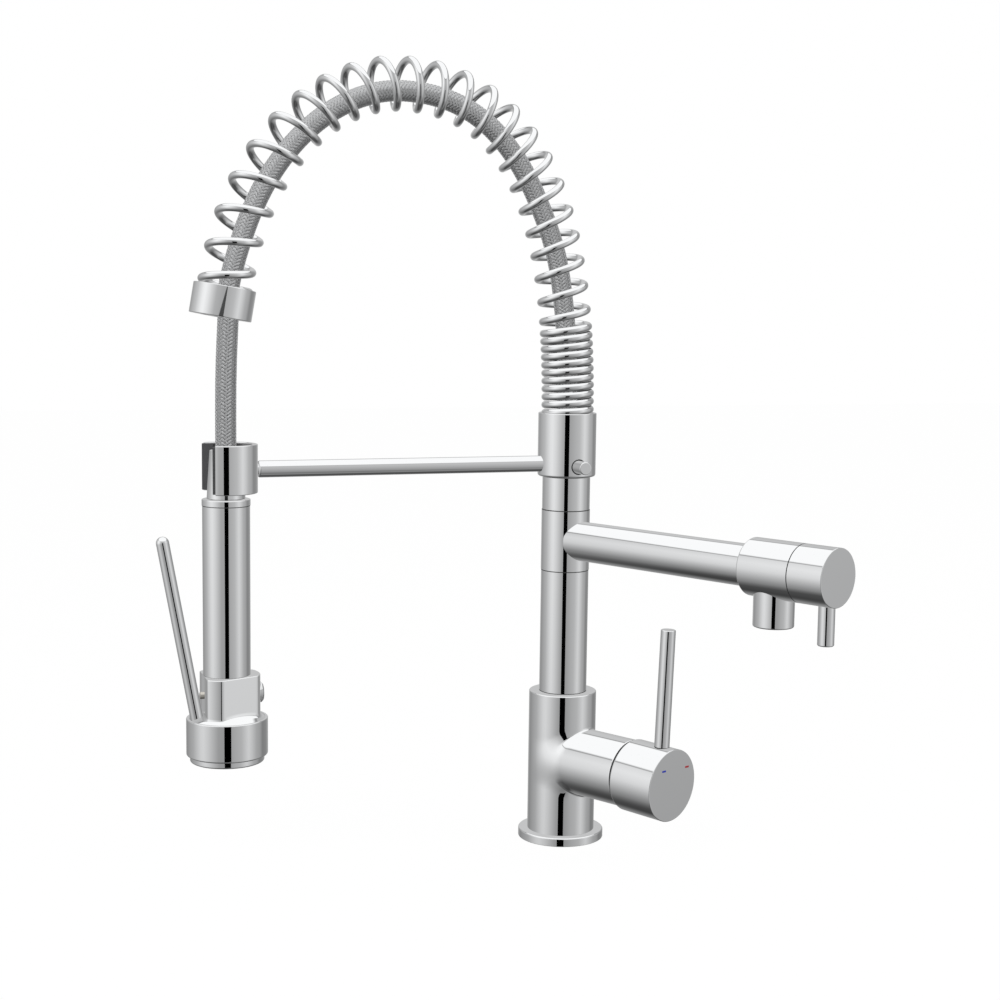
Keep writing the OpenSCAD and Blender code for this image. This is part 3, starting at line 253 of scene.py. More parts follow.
# %% Lamps
def lamp(name, place, size, watts):
    """A soft square lamp that looks at the middle of the faucet."""
    data = bpy.data.lights.new(name, "AREA")
    data.size = size
    data.energy = watts
    made = put(name, data)
    middle = Vector((-0.09, -0.02, 0.2))
    made.location = place
    made.rotation_mode = "QUATERNION"
    made.rotation_quaternion = (Vector(place) - middle).to_track_quat("Z", "Y")
    made.visible_glossy = False
    print(name, watts, "watts")
    return made


lamp("left_lamp", (-1.3, -1.2, 1.3), 1.2, 26)
lamp("right_lamp", (1.3, -0.9, 1.1), 1.2, 14)


# %% Floor
def bare(name):
    """A material with an empty node tree."""
    made = bpy.data.materials.new(name)
    made.use_nodes = True
    made.node_tree.nodes.clear()
    return made


def sheet(name, corners, material):
    """A flat object with four corners."""
    mesh = bpy.data.meshes.new(name)
    mesh.from_pydata(corners, [], [(0, 1, 2, 3)])
    mesh.materials.append(material)
    return put(name, mesh)


floor_paint = bare("pale_floor_paint")
ground = floor_paint.node_tree
paint = add(ground, "BsdfDiffuse", {0: linear("F4F4F4")}).outputs[0]
glow = add(ground, "Emission", {0: linear("FFFFFF"), 1: 1.0}).outputs[0]
by_camera = add(ground, "LightPath").outputs["Is Camera Ray"]
paler = calc(ground, "MULTIPLY", by_camera, 0.98)
floor_look = add(ground, "MixShader", {0: paler, 1: paint, 2: glow}).outputs[0]
add(ground, "OutputMaterial", {0: floor_look})
FLOOR_HALF, FLOOR_Z = 4, -0.0005
square = ((-1, -1), (1, -1), (1, 1), (-1, 1))
floor = sheet("floor", [(x * FLOOR_HALF, y * FLOOR_HALF, FLOOR_Z) for x, y in square], floor_paint)
floor.visible_glossy = False
floor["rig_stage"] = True
print("floor of", 2 * FLOOR_HALF, "metres")

# %% Dark gap
gap_black = bare("black_card")
card_tree = gap_black.node_tree
on_card = add(card_tree, "TexCoord").outputs["Object"]
up_card = add(card_tree, "SeparateXYZ", {0: on_card}).outputs["Z"]
lit = add(card_tree, "MapRange", {0: up_card, 1: 0.2, 2: 0.3}).outputs[0]
card_tone = mix(card_tree, lit, linear("010101"), linear("4C4C4C"))
card_look = add(card_tree, "Emission", {0: card_tone}).outputs[0]
add(card_tree, "OutputMaterial", {0: card_look})
LEFT_END, RIGHT_END = (-0.461, -0.792), (-0.185, -0.886)
CARD_FOOT, CARD_TOP = -0.45, 0.36
card_corners = [(*LEFT_END, CARD_FOOT), (*RIGHT_END, CARD_FOOT), (*RIGHT_END, CARD_TOP),
    (*LEFT_END, CARD_TOP)]
card = sheet("dark_gap", card_corners, gap_black)
for kind in ("camera", "diffuse", "transmission", "shadow", "volume_scatter"):
    setattr(card, "visible_" + kind, False)
card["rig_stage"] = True
print("card width in metres", round(math.dist(LEFT_END, RIGHT_END), 3))


# %% [markdown]
# ## Finishes
# Each finish starts from the real material and how its surface was made.

# %% A material with a principled shader
def finish(name, colour, metallic, roughness, grains=None, ior=1.5):
    """A new material. Its grains are (size in mm, lowest and highest roughness, depth in mm)."""
    made = bpy.data.materials.new(name)
    made.use_nodes = True
    tree = made.node_tree
    shader = tree.nodes["Principled BSDF"]
    shader.inputs["Base Color"].default_value = linear(colour)
    shader.inputs["Metallic"].default_value = metallic
    shader.inputs["Roughness"].default_value = roughness
    if not metallic:
        shader.inputs["IOR"].default_value = ior
    made.diffuse_color = linear(colour)
    if grains:
        grain(tree, shader, *grains)
    print("finish", name)
    return made


def in_mm(tree):
    """The place on the object in millimetres, for patterns with a real size."""
    place = add(tree, "TexCoord").outputs["Object"]
    return add(tree, "VectorMath", {0: place, "Scale": 1 / MM}, operation="SCALE").outputs[0]


def grain(tree, shader, size_mm, low, high, depth_mm):
    """Uneven roughness between two values and a fine relief, both with grains of that size."""
    noise = add(tree, "TexNoise", {"Vector": in_mm(tree), "Scale": 1 / size_mm, "Detail": 2.0})
    spread = add(tree, "MapRange", {0: noise.outputs[0], 3: low, 4: high})
    tree.links.new(spread.outputs[0], shader.inputs["Roughness"])
    relief = add(tree, "Bump",
        {"Height": noise.outputs[0], "Distance": depth_mm * MM, "Strength": 1.0})
    tree.links.new(relief.outputs[0], shader.inputs["Normal"])


# %% [markdown]
# Chrome plating is a few thousandths of a millimetre of chromium over polished nickel. It gives a sharp
# cool mirror. Polishing leaves hardly visible waves some millimetres long, which make a mirrored edge
# tremble a little.

# %% Chrome and the other metals
chrome = finish("polished_chrome_plate", "F0F1F2", 1.0, 0.04, (9, 0.02, 0.035, 0.0008))

# Painted shade: a dark matte material for the narrow faces where two pieces meet, which draws each joint as
# a thin dark line where shade falls
joint_shade_paint = finish("painted_shade_in_joints", "262728", 0.0, 0.7, (0.5, 0.6, 0.8, 0.01))

# Turned brass without plating shows only inside: warm, with fine tool marks
brass = finish("turned_brass", "D8B36A", 1.0, 0.28, (0.4, 0.22, 0.34, 0.004))

# The trigger's plunger is nickel plated brass, which is a little warmer than chrome
nickel = finish("nickel_plated_brass", "CDC9C1", 1.0, 0.18, (0.5, 0.14, 0.22, 0.002))

# Pressed stainless steel ferrules are drawn through a die, which leaves a soft sheen
ferrule_steel = finish("drawn_stainless_steel", "C9CACB", 1.0, 0.25, (0.6, 0.2, 0.3, 0.002))

# %% [markdown]
# The rest is moulded: black nylon in the clip, EPDM seals, acetal washers, alumina discs, and two enamelled
# dashes.

# %% Plastics, rubber, ceramic and enamel
nylon = finish("moulded_black_nylon", "303032", 0.0, 0.45, (0.5, 0.4, 0.55, 0.01), ior=1.53)

seal_rubber = finish("moulded_epdm_rubber", "1E1E1F", 0.0, 0.6, (0.3, 0.55, 0.7, 0.01), ior=1.52)

acetal = finish("moulded_white_acetal", "E9E8E3", 0.0, 0.35, (0.8, 0.3, 0.42, 0.005), ior=1.48)

# The washers between the turning pieces are acetal too. Their dark grey is painted shade, for the narrow
# seams they sit in
shaded_acetal = finish("acetal_washer_in_painted_shade", "4A4A48", 0.0, 0.5, (0.8, 0.42, 0.6, 0.005), ior=1.48)

alumina = finish("lapped_alumina", "F0EEE6", 0.0, 0.2, (0.2, 0.15, 0.25, 0.001), ior=1.77)

cold_enamel = finish("blue_enamel", "1B2A8E", 0.0, 0.25, (0.6, 0.2, 0.32, 0.004), ior=1.52)

hot_enamel = finish("red_enamel", "8C0A1C", 0.0, 0.25, (0.6, 0.2, 0.32, 0.004), ior=1.52)

# %% [markdown]
# The hose is a rubber tube in a sleeve of stainless wire. A braiding machine lays flat bands of five wires,
# half of them one way round and half the other, each over two and under two. That gives columns of small
# chevrons. The bands are modelled, and the wires in a band are a relief across its width.

# %% Braid
braid_wire = finish("braided_stainless_wire", "C6C7C8", 1.0, 0.3)
tree = braid_wire.node_tree
shader = tree.nodes["Principled BSDF"]
WIRES_IN_BAND = 5
strip = add(tree, "UVMap", uv_map="band").outputs[0]
across = add(tree, "SeparateXYZ", {0: strip}).outputs[0]
phase = calc(tree, "MULTIPLY", across, WIRES_IN_BAND * math.pi)
crest = calc(tree, "ABSOLUTE", calc(tree, "SINE", phase))
relief = add(tree, "Bump", {"Height": crest, "Distance": 0.12 * MM, "Strength": 0.8})
tree.links.new(relief.outputs[0], shader.inputs["Normal"])
# Painted light and shade: the wire colour is darker in the grooves between the wires and lighter on their
# crests
shade = add(tree, "MapRange", {0: crest, 3: 0.18, 4: 1.0}).outputs[0]
between = mix(tree, shade, linear("77787A"), linear("E6E7E8"))
tree.links.new(between, shader.inputs["Base Color"])


# %% [markdown]
# ## Shapes
# Nearly every piece is turned, so its shape is an outline with rounded corners, swung round an axis. The
# outline carries its exact normals, and so the mirror images in the chrome run smoothly over curves and
# stop at edges.

# %% Outlines
def rounded(corners, closed=False, steps=None):
    """Points and outward normals of an outline from (x, y) or (x, y, radius). The solid is on its left."""
    made = []
    spots = [np.array(c[:2], float) for c in corners]
    last = len(corners) - 1
    for i, here in enumerate(spots):
        radius = corners[i][2] if len(corners[i]) > 2 else 0
        before = spots[i - 1] if closed or i > 0 else None
        after = spots[(i + 1) % len(spots)] if closed or i < last else None
        ways = [w / np.linalg.norm(w) for w in (here - before if before is not None else after - here,
            after - here if after is not None else here - before)]
        normals = [np.array((w[1], -w[0])) for w in ways]
        swing = math.atan2(ways[0][0] * ways[1][1] - ways[0][1] * ways[1][0], float(ways[0] @ ways[1]))
        if abs(swing) < 1e-6 or before is None or after is None:
            made.append((here, normals[0]))
        elif not radius:
            made += [(here, normals[0]), (here, normals[1])]
        else:
            side = math.copysign(1, swing)
            start = here - radius * math.tan(abs(swing) / 2) * ways[0]
            centre = start - side * radius * normals[0]
            count = steps or max(2, math.ceil(abs(swing) / math.radians(15)))
            for k in range(count + 1):
                a = swing * k / count
                c, s = math.cos(a), math.sin(a)
                nx, ny = normals[0]
                normal = np.array((c * nx - s * ny, s * nx + c * ny))
                made.append((centre + side * radius * normal, normal))
    return made


# %% Turned and joined shapes
def grid(rows, columns, round_rows=False, round_columns=False, flip=False):
    """Faces between points that are listed row after row. Rows and columns can close to a round."""
    faces = []
    for i in range(rows if round_rows else rows - 1):
        here, there = i * columns, (i + 1) % rows * columns
        for k in range(columns if round_columns else columns - 1):
            n = (k + 1) % columns
            face = (here + k, here + n, there + n, there + k)
            faces.append(face[:1] + face[:0:-1] if flip else face)
    return faces


def turned(corners, closed=False, segments=128):
    """An outline of (radius, height) corners swung round Z: points, faces and normals."""
    outline = rounded(corners, closed)
    points, normals, rings = [], [], []
    for (r, z), (nr, nz) in outline:
        count = segments if r > 1e-6 else 1
        rings.append(list(range(len(points), len(points) + count)))
        for k in range(count):
            a = math.tau * k / segments
            points.append((r * math.cos(a), r * math.sin(a), z))
            on_axis = (0, 0, math.copysign(1, nz))
            normals.append((nr * math.cos(a), nr * math.sin(a), nz) if count > 1 else on_axis)
    faces = []
    for i in range(len(rings) if closed else len(rings) - 1):
        j = (i + 1) % len(rings)
        low, high = rings[i], rings[j]
        if np.linalg.norm(outline[i][0] - outline[j][0]) < 1e-7:
            continue
        for k in range(segments):
            n = (k + 1) % segments
            if len(low) == 1 and len(high) == 1:
                break
            if len(low) == 1:
                faces.append((low[0], high[n], high[k]))
            elif len(high) == 1:
                faces.append((low[k], low[n], high[0]))
            else:
                faces.append((low[k], low[n], high[n], high[k]))
    return points, faces, normals


def joined(*shapes):
    """Several shapes as one."""
    points, faces, normals = [], [], []
    for p, f, n in shapes:
        faces += [tuple(i + len(points) for i in face) for face in f]
        points += list(p)
        normals += list(n)
    return points, faces, normals


def unit(vectors):
    """The same directions, each with length one."""
    return vectors / np.linalg.norm(vectors, axis=-1, keepdims=True)


def run_along(line):
    """The length of a line from its first point to each of its points."""
    return np.concatenate([[0], np.cumsum(np.linalg.norm(np.diff(line, axis=0), axis=1))])


def placed(shape, matrix):
    """A shape moved and turned by a 4 by 4 matrix."""
    points, faces, normals = shape
    m = np.array(matrix)
    spots = np.array(points) @ m[:3, :3].T + m[:3, 3]
    return spots.tolist(), faces, (np.array(normals) @ m[:3, :3].T).tolist()


# %% Pieces
def piece(name, shape, material, body, slot, *nodes):
    """Makes an object from a shape in mm, rides it on its body, and lets it stand for its CAD nodes."""
    points, faces, normals = shape
    mesh = bpy.data.meshes.new(name)
    mesh.from_pydata((np.array(points) * MM).tolist(), [], faces)
    mesh.polygons.foreach_set("use_smooth", [True] * len(faces))
    mesh.update()
    if normals is not None:
        mesh.normals_split_custom_set_from_vertices(normals)
    mesh.materials.append(material)
    made = put(name, mesh)
    if body:
        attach(made, body)
    if nodes:
        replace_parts(made, *nodes)
    print(name, len(faces), "faces")
    return made


def cut(made, cutters):
    """Cuts shapes away. What remains of the old faces keeps its exact normals, and new faces are flat."""
    before = made.data
    spots = [v.co.copy() for v in before.vertices]
    rings = [tuple(f.vertices) for f in before.polygons]
    starts = [f.loop_start for f in before.polygons]
    shading = [n.vector.copy() for n in before.corner_normals]
    surface = BVHTree.FromPolygons(spots, rings)
    tools = []
    for shape in cutters:
        tool = piece("cutter", shape, chrome, None, "chrome")
        change = made.modifiers.new("cut", "BOOLEAN")
        change.object = tool
        change.operation = "DIFFERENCE"
        change.solver = "EXACT"
        tools.append(tool)
    done = bpy.data.meshes.new_from_object(made.evaluated_get(bpy.context.evaluated_depsgraph_get()))
    made.modifiers.clear()
    for tool in tools:
        bpy.data.objects.remove(tool)
    corners = []
    for face in done.polygons:
        for v in face.vertices:
            inside = done.vertices[v].co.lerp(face.center, 0.02)
            place, facing, index, far = surface.find_nearest(inside)
            if far < 5e-6 and facing.dot(face.normal) > 0.98:
                weights = poly_3d_calc([spots[i] for i in rings[index]], place)
                own = sum((w * shading[starts[index] + k] for k, w in enumerate(weights)), Vector())
                corners.append(own.normalized())
            else:
                corners.append(face.normal.copy())
    done.polygons.foreach_set("use_smooth", [True] * len(done.polygons))
    done.normals_split_custom_set(corners)
    made.data = done
    return made


# %% [markdown]
# Where two pieces meet, the narrow gap lies in shade. Since the pieces don't mirror each other, its faces
# would mirror the bright room. So that shade is painted: the narrow faces of a joint get a dark material of
# their own, which needs no extra shape.

# %% Painted shade in a joint
def paint_shade(made, place, *spans):
    """Paints shade on faces in spans (low, high, inner radius, outer radius) about a place's Z axis: they
    get the dark joint material.
    """
    back = place.inverted()
    made.data.materials.append(joint_shade_paint)
    for face in made.data.polygons:
        x, y, z = back @ (face.center / MM)
        out = math.hypot(x, y)
        if any(low <= z <= high and inner <= out <= outer for low, high, inner, outer in spans):
            face.material_index = 1


def turned_piece(name, place, body, node, corners, *spans, closed=False, segments=128):
    """A chrome piece turned about a place's Z axis, with painted shade in those spans of it."""
    shape = placed(turned(corners, closed, segments), place)
    made = piece(name, shape, chrome, body, "chrome", node)
    if spans:
        paint_shade(made, place, *spans)
    return made


# %% [markdown]
# ## Places
# The mixer and the pot filler lie along level axes that leave the column, and the hand spray has an upright
# axis at the end of the arm. Each gets a matrix, built with the same turns as the CAD source.

# %% Matrices
def turn_about(axis, degrees):
    """A turn about an axis."""
    return Matrix.Rotation(math.radians(degrees), 4, axis)


def moved(x, y, z):
    """A move without a turn."""
    return Matrix.Translation((x, y, z))


SPOUT_Z, MIXER_Z, ROD_Z, LOCK_Z = 179.15, 48.0, 224.1, 223.2
MIXER_TURN, SPOUT_TURN, LOCK_TURN = 297.4, 295.9, 273.7
ARM = 200.6
CAP_END = 83.6
NOZZLE_REACH, NOZZLE_DROP = 151.4, 30.8
upright = Matrix.Identity(4)
level = turn_about("Y", 90)
at_mixer = turn_about("Z", MIXER_TURN) @ moved(0, 0, MIXER_Z) @ level
at_handle = at_mixer @ turn_about("Z", -1) @ moved(0, 0, 44) @ turn_about("Y", 1.5) @ moved(0, 0, -44)
at_spout = turn_about("Z", SPOUT_TURN) @ moved(0, 0, SPOUT_Z) @ level
at_lock = turn_about("Z", LOCK_TURN) @ moved(0, 0, LOCK_Z) @ level
at_spray = moved(-ARM, 0, 0) @ turn_about("Z", 180)
at_rod = moved(0, 0, ROD_Z) @ turn_about("Y", -90)
print("mixer points along", tuple(round(v, 3) for v in at_mixer.col[2][:3]))


# %% [markdown]
# ## Base and mixer body
# The body is one casting: an upright barrel with a level housing for the cartridge. Where they meet, the
# pattern maker puts a fillet so that the metal flows and the polishing wheel can reach. A ball that rolls
# along both cylinders draws that fillet exactly, with its normals.

# %% Fillet between an upright and a level cylinder
def fillet(upright_r, level_r, ball_r, axis_z, around=96, steps=8):
    """The band that a ball leaves as it rolls round where a cylinder along +X leaves an upright one."""
    points, normals = [], []
    for i in range(around):
        a = math.tau * i / around
        y, z = (level_r + ball_r) * math.sin(a), (level_r + ball_r) * math.cos(a)
        centre = np.array((math.sqrt((upright_r + ball_r) ** 2 - y * y), y, z))
        on_upright = centre * (upright_r / (upright_r + ball_r)) * (1, 1, 0) + (0, 0, z)
        on_level = centre * (0, 1, 1) * (level_r / (level_r + ball_r)) + (centre[0], 0, 0)
        first, last = centre - on_upright, centre - on_level
        for k in range(steps + 1):
            blend = first * (1 - k / steps) + last * (k / steps)
            normal = blend / np.linalg.norm(blend)
            points.append(tuple(centre - ball_r * normal + (0, 0, axis_z)))
            normals.append(tuple(normal))
    return points, grid(around, steps + 1, round_rows=True), normals


# %% Underside with its three threaded holes
def holed_disc(radius, holes, z, depth):
    """A disc that faces down, with round blind holes (x, y, radius) in it."""

    def loop(x, y, r, count):
        """Points on a circle."""
        return [Vector((x + r * math.cos(math.tau * k / count), y + r * math.sin(math.tau * k / count), z))
            for k in range(count)]

    loops = [loop(0, 0, radius, 96)] + [loop(x, y, r, 32) for x, y, r in holes]
    flat = [p for ring in loops for p in ring]
    faces = []
    for a, b, c in tessellate_polygon(loops):
        facing = (flat[b] - flat[a]).cross(flat[c] - flat[a]).z
        faces.append((a, b, c) if facing < 0 else (c, b, a))
    disc = ([tuple(p) for p in flat], faces, [(0, 0, -1)] * len(flat))
    bores = []
    for x, y, r in holes:
        bore = turned([(0, z + depth), (r, z + depth), (r, z)], segments=32)
        bores.append(placed(bore, moved(x, y, 0)))
    return joined(disc, *bores)


hole_spots = [turn_about("Z", MIXER_TURN) @ Vector((x, y, 0)) for x, y in ((2, 9), (2, -9), (-10, 0))]
holes = [(spot.x, spot.y, r) for spot, r in zip(hole_spots, (4.5, 4.5, 3.4))]
underside = holed_disc(17.1, holes, 0, 14)
print("holes in the underside", len(holes))

# %% Flange and mixer body
turned_piece("flange_turned", upright, "base", "base_flange",
    [(17.45, 0), (25.3, 0, 0.3), (25.3, 5, 0.8), (17.45, 5)], closed=True)

BARREL_R, HOUSING_R, FILLET_R = 19.9, 19.6, 1.4
barrel = turned([(17.1, 0), (17.4, 0.3), (17.4, 5), (BARREL_R, 5, 0.1)]
    + [(BARREL_R, z) for z in range(20, 78, 2)]
    + [(BARREL_R, 88.6, 0.6), (14.05, 88.6, 0.1), (14.05, 80.6), (0, 80.6)], segments=192)
housing = turned([(0, 5), (HOUSING_R, 5)] + [(HOUSING_R, x) for x in range(6, 30, 2)]
    + [(HOUSING_R, 53.6, 0.8), (17.3, 53.6, 0.2), (17.3, 20), (0, 20)], segments=192)
band = fillet(BARREL_R, HOUSING_R, FILLET_R, MIXER_Z, around=192)


def polished_over(shape):
    """Lets the normals run together where barrel and housing nearly touch, as the polishing wheel does."""
    points, faces, normals = shape
    eased = []
    for p, n in zip(points, normals):
        local = turn_about("Z", -MIXER_TURN) @ Vector(p)
        far_barrel = math.hypot(local.x, local.y) - BARREL_R
        far_housing = math.hypot(local.y, local.z - MIXER_Z) - HOUSING_R
        forward_share = min(1, max(0, (local.x + 9) / 14))
        share = min(1, max(0, 0.5 + (far_housing - far_barrel) / 10))
        fade = (1 - share) * forward_share**2 * (3 - 2 * forward_share)
        flank = abs(local.y) / BARREL_R
        in_corner = far_barrel < 3 and far_housing < 3
        on_wall = abs(far_barrel) < 0.05 or abs(far_housing) < 0.05 or in_corner
        if on_wall and 4.9 < local.z < 88 and -9 < local.x < 30 and flank > 0.55:
            one = Vector((local.x, local.y, 0)).normalized()
            two = Vector((0, local.y, local.z - MIXER_Z)).normalized()
            mixed = (one * (1 - fade) + two * fade).normalized()
            amount = min(1, (flank - 0.55) / 0.3)
            turned_back = turn_about("Z", MIXER_TURN) @ mixed
            n = (Vector(n) * (1 - amount) + turned_back * amount).normalized()
        eased.append(tuple(n))
    return points, faces, eased


body_shape = joined(polished_over(barrel), underside, polished_over(placed(housing, at_mixer)),
    polished_over(placed(band, turn_about("Z", MIXER_TURN))))
body = piece("mixer_body_cast", body_shape, chrome, "base", "chrome", "mixer_body")
paint_shade(body, at_mixer, (53.35, 53.7, 17, 19.7))

# %% [markdown]
# ## Column
# The column is plain tube. Its pieces meet at thin seams: a fixed lower tube, the ring that carries the pot
# filler, a fixed neck, and the collar that turns with the arch.

# %% Column, ring and neck
turned_piece("lower_column_tube", upright, "base", "lower_column",
    [(12.5, 80.7), (14, 80.7), (14, 88.95), (14, 161.1, 0.12), (12.5, 161.1)],
    (80, 88.9, 13, 15), (160.9, 161.2, 12, 15), closed=True)
turned_piece("spout_ring_turned", upright, "spout", "spout_ring",
    [(10.58, 161.4), (14.2, 161.4, 0.12), (14.2, 196.9, 0.12), (10.58, 196.9)],
    (161.3, 161.55, 10, 15), (196.75, 197, 10, 15), closed=True)
turned_piece("neck_turned", upright, "base", "upper_neck",
    [(8.55, 197.2), (14, 197.2, 0.12), (14, 216.4, 0.12), (11.5, 216.4), (11.5, 238.4, 0.5), (8.55, 238.4)],
    (197.1, 197.35, 8, 15), (216.25, 216.5, 11, 15), closed=True)

# %% Top collar
# Its recesses for the lock screw and the rod are drilled into the round wall.
collar = turned_piece("top_collar_turned", upright, "arm", "top_collar",
    [(11.58, 216.7, 0.1), (17, 216.7, 1.4), (17, 253.8, 0.5), (15.8, 253.8, 0.2), (15.8, 243.8, 0.1),
        (11.58, 243.8, 0.1)], closed=True, segments=256)
lock_hole = placed(turned([(0, 15.9), (4.55, 15.9), (4.55, 30), (0, 30)], segments=48), at_lock)
rod_hole = placed(turned([(0, 15.0), (4.95, 15.0), (4.95, 30), (0, 30)], segments=48), at_rod)
cut(collar, [lock_hole, rod_hole])
paint_shade(collar, at_lock, (15, 16.9, 0, 4.6))
paint_shade(collar, at_rod, (14, 16.9, 0, 5))
turned_piece("lock_screw_turned", at_lock, "lock", "lock_screw",
    [(0, 11.8), (3, 11.8), (3, 16.2), (3.75, 16.2, 0.2), (3.75, 26.4, 0.6), (0, 26.4)], segments=64)

# %% [markdown]
# ## Mixer handle
# The handle is a cap with a flat polished face and a slim upright lever, pressed into its top. Two short
# enamelled dashes on the face show which way is cold and which way is hot.

# %% Cap, lever and dashes
CAP_R = 20.8
turned_piece("handle_cap_turned", at_handle, "mixer_handle", "handle_cap",
    [(19.3, 54.5, 0.2), (CAP_R, 54.5, 1.1), (CAP_R, CAP_END, 0.5), (0, CAP_END), (0, 70.2), (19.3, 70.2)],
    (54.4, 54.62, 19, 21), (54.4, 70.3, 0, 19.4))
at_lever = at_handle @ moved(-CAP_R, 0, CAP_END - 8.8) @ turn_about("Y", -90)
turned_piece("mixer_lever_turned", at_lever, "mixer_handle", "mixer_lever",
    [(0, -9.5), (4.35, -9.5), (4.35, 0.2), (4.25, 67.5, 0.5), (0, 67.5)], (-10, 0.15, 0, 5), segments=64)


def dash(side):
    """One enamelled dash, a hair proud of the cap's face."""
    place = at_handle @ turn_about("Z", -2) @ moved(-9.3, 2.1 + side * 10.5, CAP_END - 0.3)
    w, h, r = 0.55, 1.75, 0.3
    outline = rounded([(-w, -h, r), (w, -h, r), (w, h, r), (-w, h, r)], closed=True)
    ring_low = [(p[0], p[1], 0) for p, n in outline]
    ring_high = [(p[0], p[1], 0.34) for p, n in outline]
    count = len(outline)
    faces = [(k, (k + 1) % count, count + (k + 1) % count, count + k) for k in range(count)]
    faces.append(tuple(range(2 * count, 3 * count)))
    normals = [(n[0], n[1], 0) for p, n in outline] * 2 + [(0, 0, 1)] * count
    return placed((ring_low + ring_high + ring_high, faces, normals), place)


piece("cold_dash", dash(-1), cold_enamel, "mixer_handle", "cold_paint", "cold_mark")
piece("hot_dash", dash(1), hot_enamel, "mixer_handle", "hot_paint", "hot_mark")

# %% [markdown]
# ## Pot filler
# A level tube leaves the ring and ends in a thicker valve housing. Its end cap turns with a small lever,
# which opens the valve. The outlet nozzle hangs below, with a jet former in its mouth.

# %% Spout pieces
turned_piece("spout_tube_drawn", at_spout, "spout", "spout_tube",
    [(9.8, 9), (11.5, 9), (11.5, 140.1), (9.8, 140.1)], closed=True)
VALVE_R = 15.75
turned_piece("valve_housing_turned", at_spout, "spout", "valve_housing",
    [(0, 137.2), (VALVE_R, 137.2, 1.0), (VALVE_R, 169.6, 0.15), (0, 169.6)], (169.4, 169.7, 0, 16))
turned_piece("spout_cap_turned", at_spout, "spout_valve", "spout_cap",
    [(13.5, 169.9), (VALVE_R, 169.9, 0.15), (VALVE_R, 191.2, 0.4), (0, 191.2), (0, 176), (13.5, 176)],
    (169.8, 170.06, 13, 16), closed=True)
at_nozzle = turn_about("Z", SPOUT_TURN) @ moved(NOZZLE_REACH, 0, SPOUT_Z - NOZZLE_DROP)
turned_piece("outlet_nozzle_turned", at_nozzle, "spout", "outlet_nozzle",
    [(9.7, 12.6), (9.7, 0, 0.3), (11, 0, 0.9), (11, 21), (9.7, 21)], closed=True)
at_small = at_spout @ moved(6, 0, 184.8) @ level
turned_piece("spout_lever_turned", at_small, "spout_valve", "spout_lever",
    [(0, 0), (4.4, 0), (4.4, 30.2, 0.8), (0, 30.2)], segments=64)

# %% [markdown]
# ## The arch
# The spring and the hose follow one curve: two Bezier halves that meet level at the top, as in the CAD
# source. A point on the curve is asked for by its length along it from the top of the collar.

# %% The curve of the arch
COLLAR_TOP, ARCH_RISE, END_DROP = 253.8, 183.2, 113.0
top = np.array((ARM * 0.51, COLLAR_TOP + ARCH_RISE))
foot = np.array((0, COLLAR_TOP))
tip = np.array((ARM, top[1] - END_DROP))
tip_way = np.array((math.sin(math.radians(9)), -math.cos(math.radians(9))))
rising = [foot, foot + (0, 0.46 * ARCH_RISE), top - (0.86 * top[0], 0), top]
falling_half = [top, top + (0.315 * top[0], 0), tip - 0.76 * END_DROP * tip_way, tip]


def bezier(p, t):
    """Points on a curve with four control points, at shares t of the way from 0 to 1."""
    t = t[:, None]
    return (1 - t) ** 3 * p[0] + 3 * (1 - t) ** 2 * t * p[1] + 3 * (1 - t) * t * t * p[2] + t**3 * p[3]


share = np.linspace(0, 1, 401)
curve = np.vstack([bezier(rising, share)[:-1], bezier(falling_half, share)])
lengths = run_along(curve)
ways = np.gradient(curve, lengths, axis=0)
ARCH_LENGTH = float(lengths[-1])
print("arch length", round(ARCH_LENGTH, 1), "mm")


def along_arch(s, out, angle):
    """The point at length s, that far out from the curve, at that angle: 0 is the arch's outer side."""
    s, out, angle = np.broadcast_arrays(*(np.asarray(v, float) for v in (s, out, angle)))
    x, z = (np.interp(s, lengths, curve[:, i]) for i in (0, 1))
    wx, wz = (np.interp(s, lengths, ways[:, i]) for i in (0, 1))
    before, after = np.minimum(s, 0), np.maximum(s - ARCH_LENGTH, 0)
    wx, wz = np.where(s < 0, 0, wx), np.where(s < 0, 1, wz)
    wx, wz = np.where(s > ARCH_LENGTH, tip_way[0], wx), np.where(s > ARCH_LENGTH, tip_way[1], wz)
    size = np.hypot(wx, wz)
    wx, wz = wx / size, wz / size
    x, z = x + after * tip_way[0], z + before + after * tip_way[1]
    r = out * np.cos(angle)
    return np.stack([-(x - r * wz), out * np.sin(angle), z + r * wx], -1)


# %% [markdown]
# ## Spring
# The spring is one hard-drawn steel wire, plated. It is wound tight above the collar and opens over the
# arch. The tube is swept along the winding, with its ring of points carried from step to step, so that it
# doesn't twist.

# %% A tube along a line
def tube_along(line, radius, sides):
    """A round tube along points, with exact normals and flat ends."""
    line = np.asarray(line, float)
    step = unit(np.gradient(line, axis=0))
    start = np.cross(step[0], (0, 1, 0) if abs(step[0][1]) < 0.9 else (1, 0, 0))
    across = [start / np.linalg.norm(start)]
    for way in step[1:]:
        carried = across[-1] - (across[-1] @ way) * way
        across.append(carried / np.linalg.norm(carried))
    across = np.array(across)
    over = np.cross(step, across)
    angles = np.arange(sides) * math.tau / sides
    cosines, sines = np.cos(angles)[None, :, None], np.sin(angles)[None, :, None]
    normals = across[:, None] * cosines + over[:, None] * sines
    points = (line[:, None] + radius * normals).reshape(-1, 3)
    normals = normals.reshape(-1, 3)
    faces = grid(len(line), sides, round_columns=True)
    points, normals = points.tolist(), normals.tolist()
    last_ring = (len(line) - 1) * sides
    for first, order, way in ((0, range(sides - 1, -1, -1), -step[0]), (last_ring, range(sides), step[-1])):
        base = len(points)
        points += [points[first + k] for k in order]
        normals += [way.tolist()] * sides
        faces.append(tuple(range(base, base + sides)))
    return points, faces, normals


# %% Winding
WIRE_D, SPRING_D = 4.3, 30.7
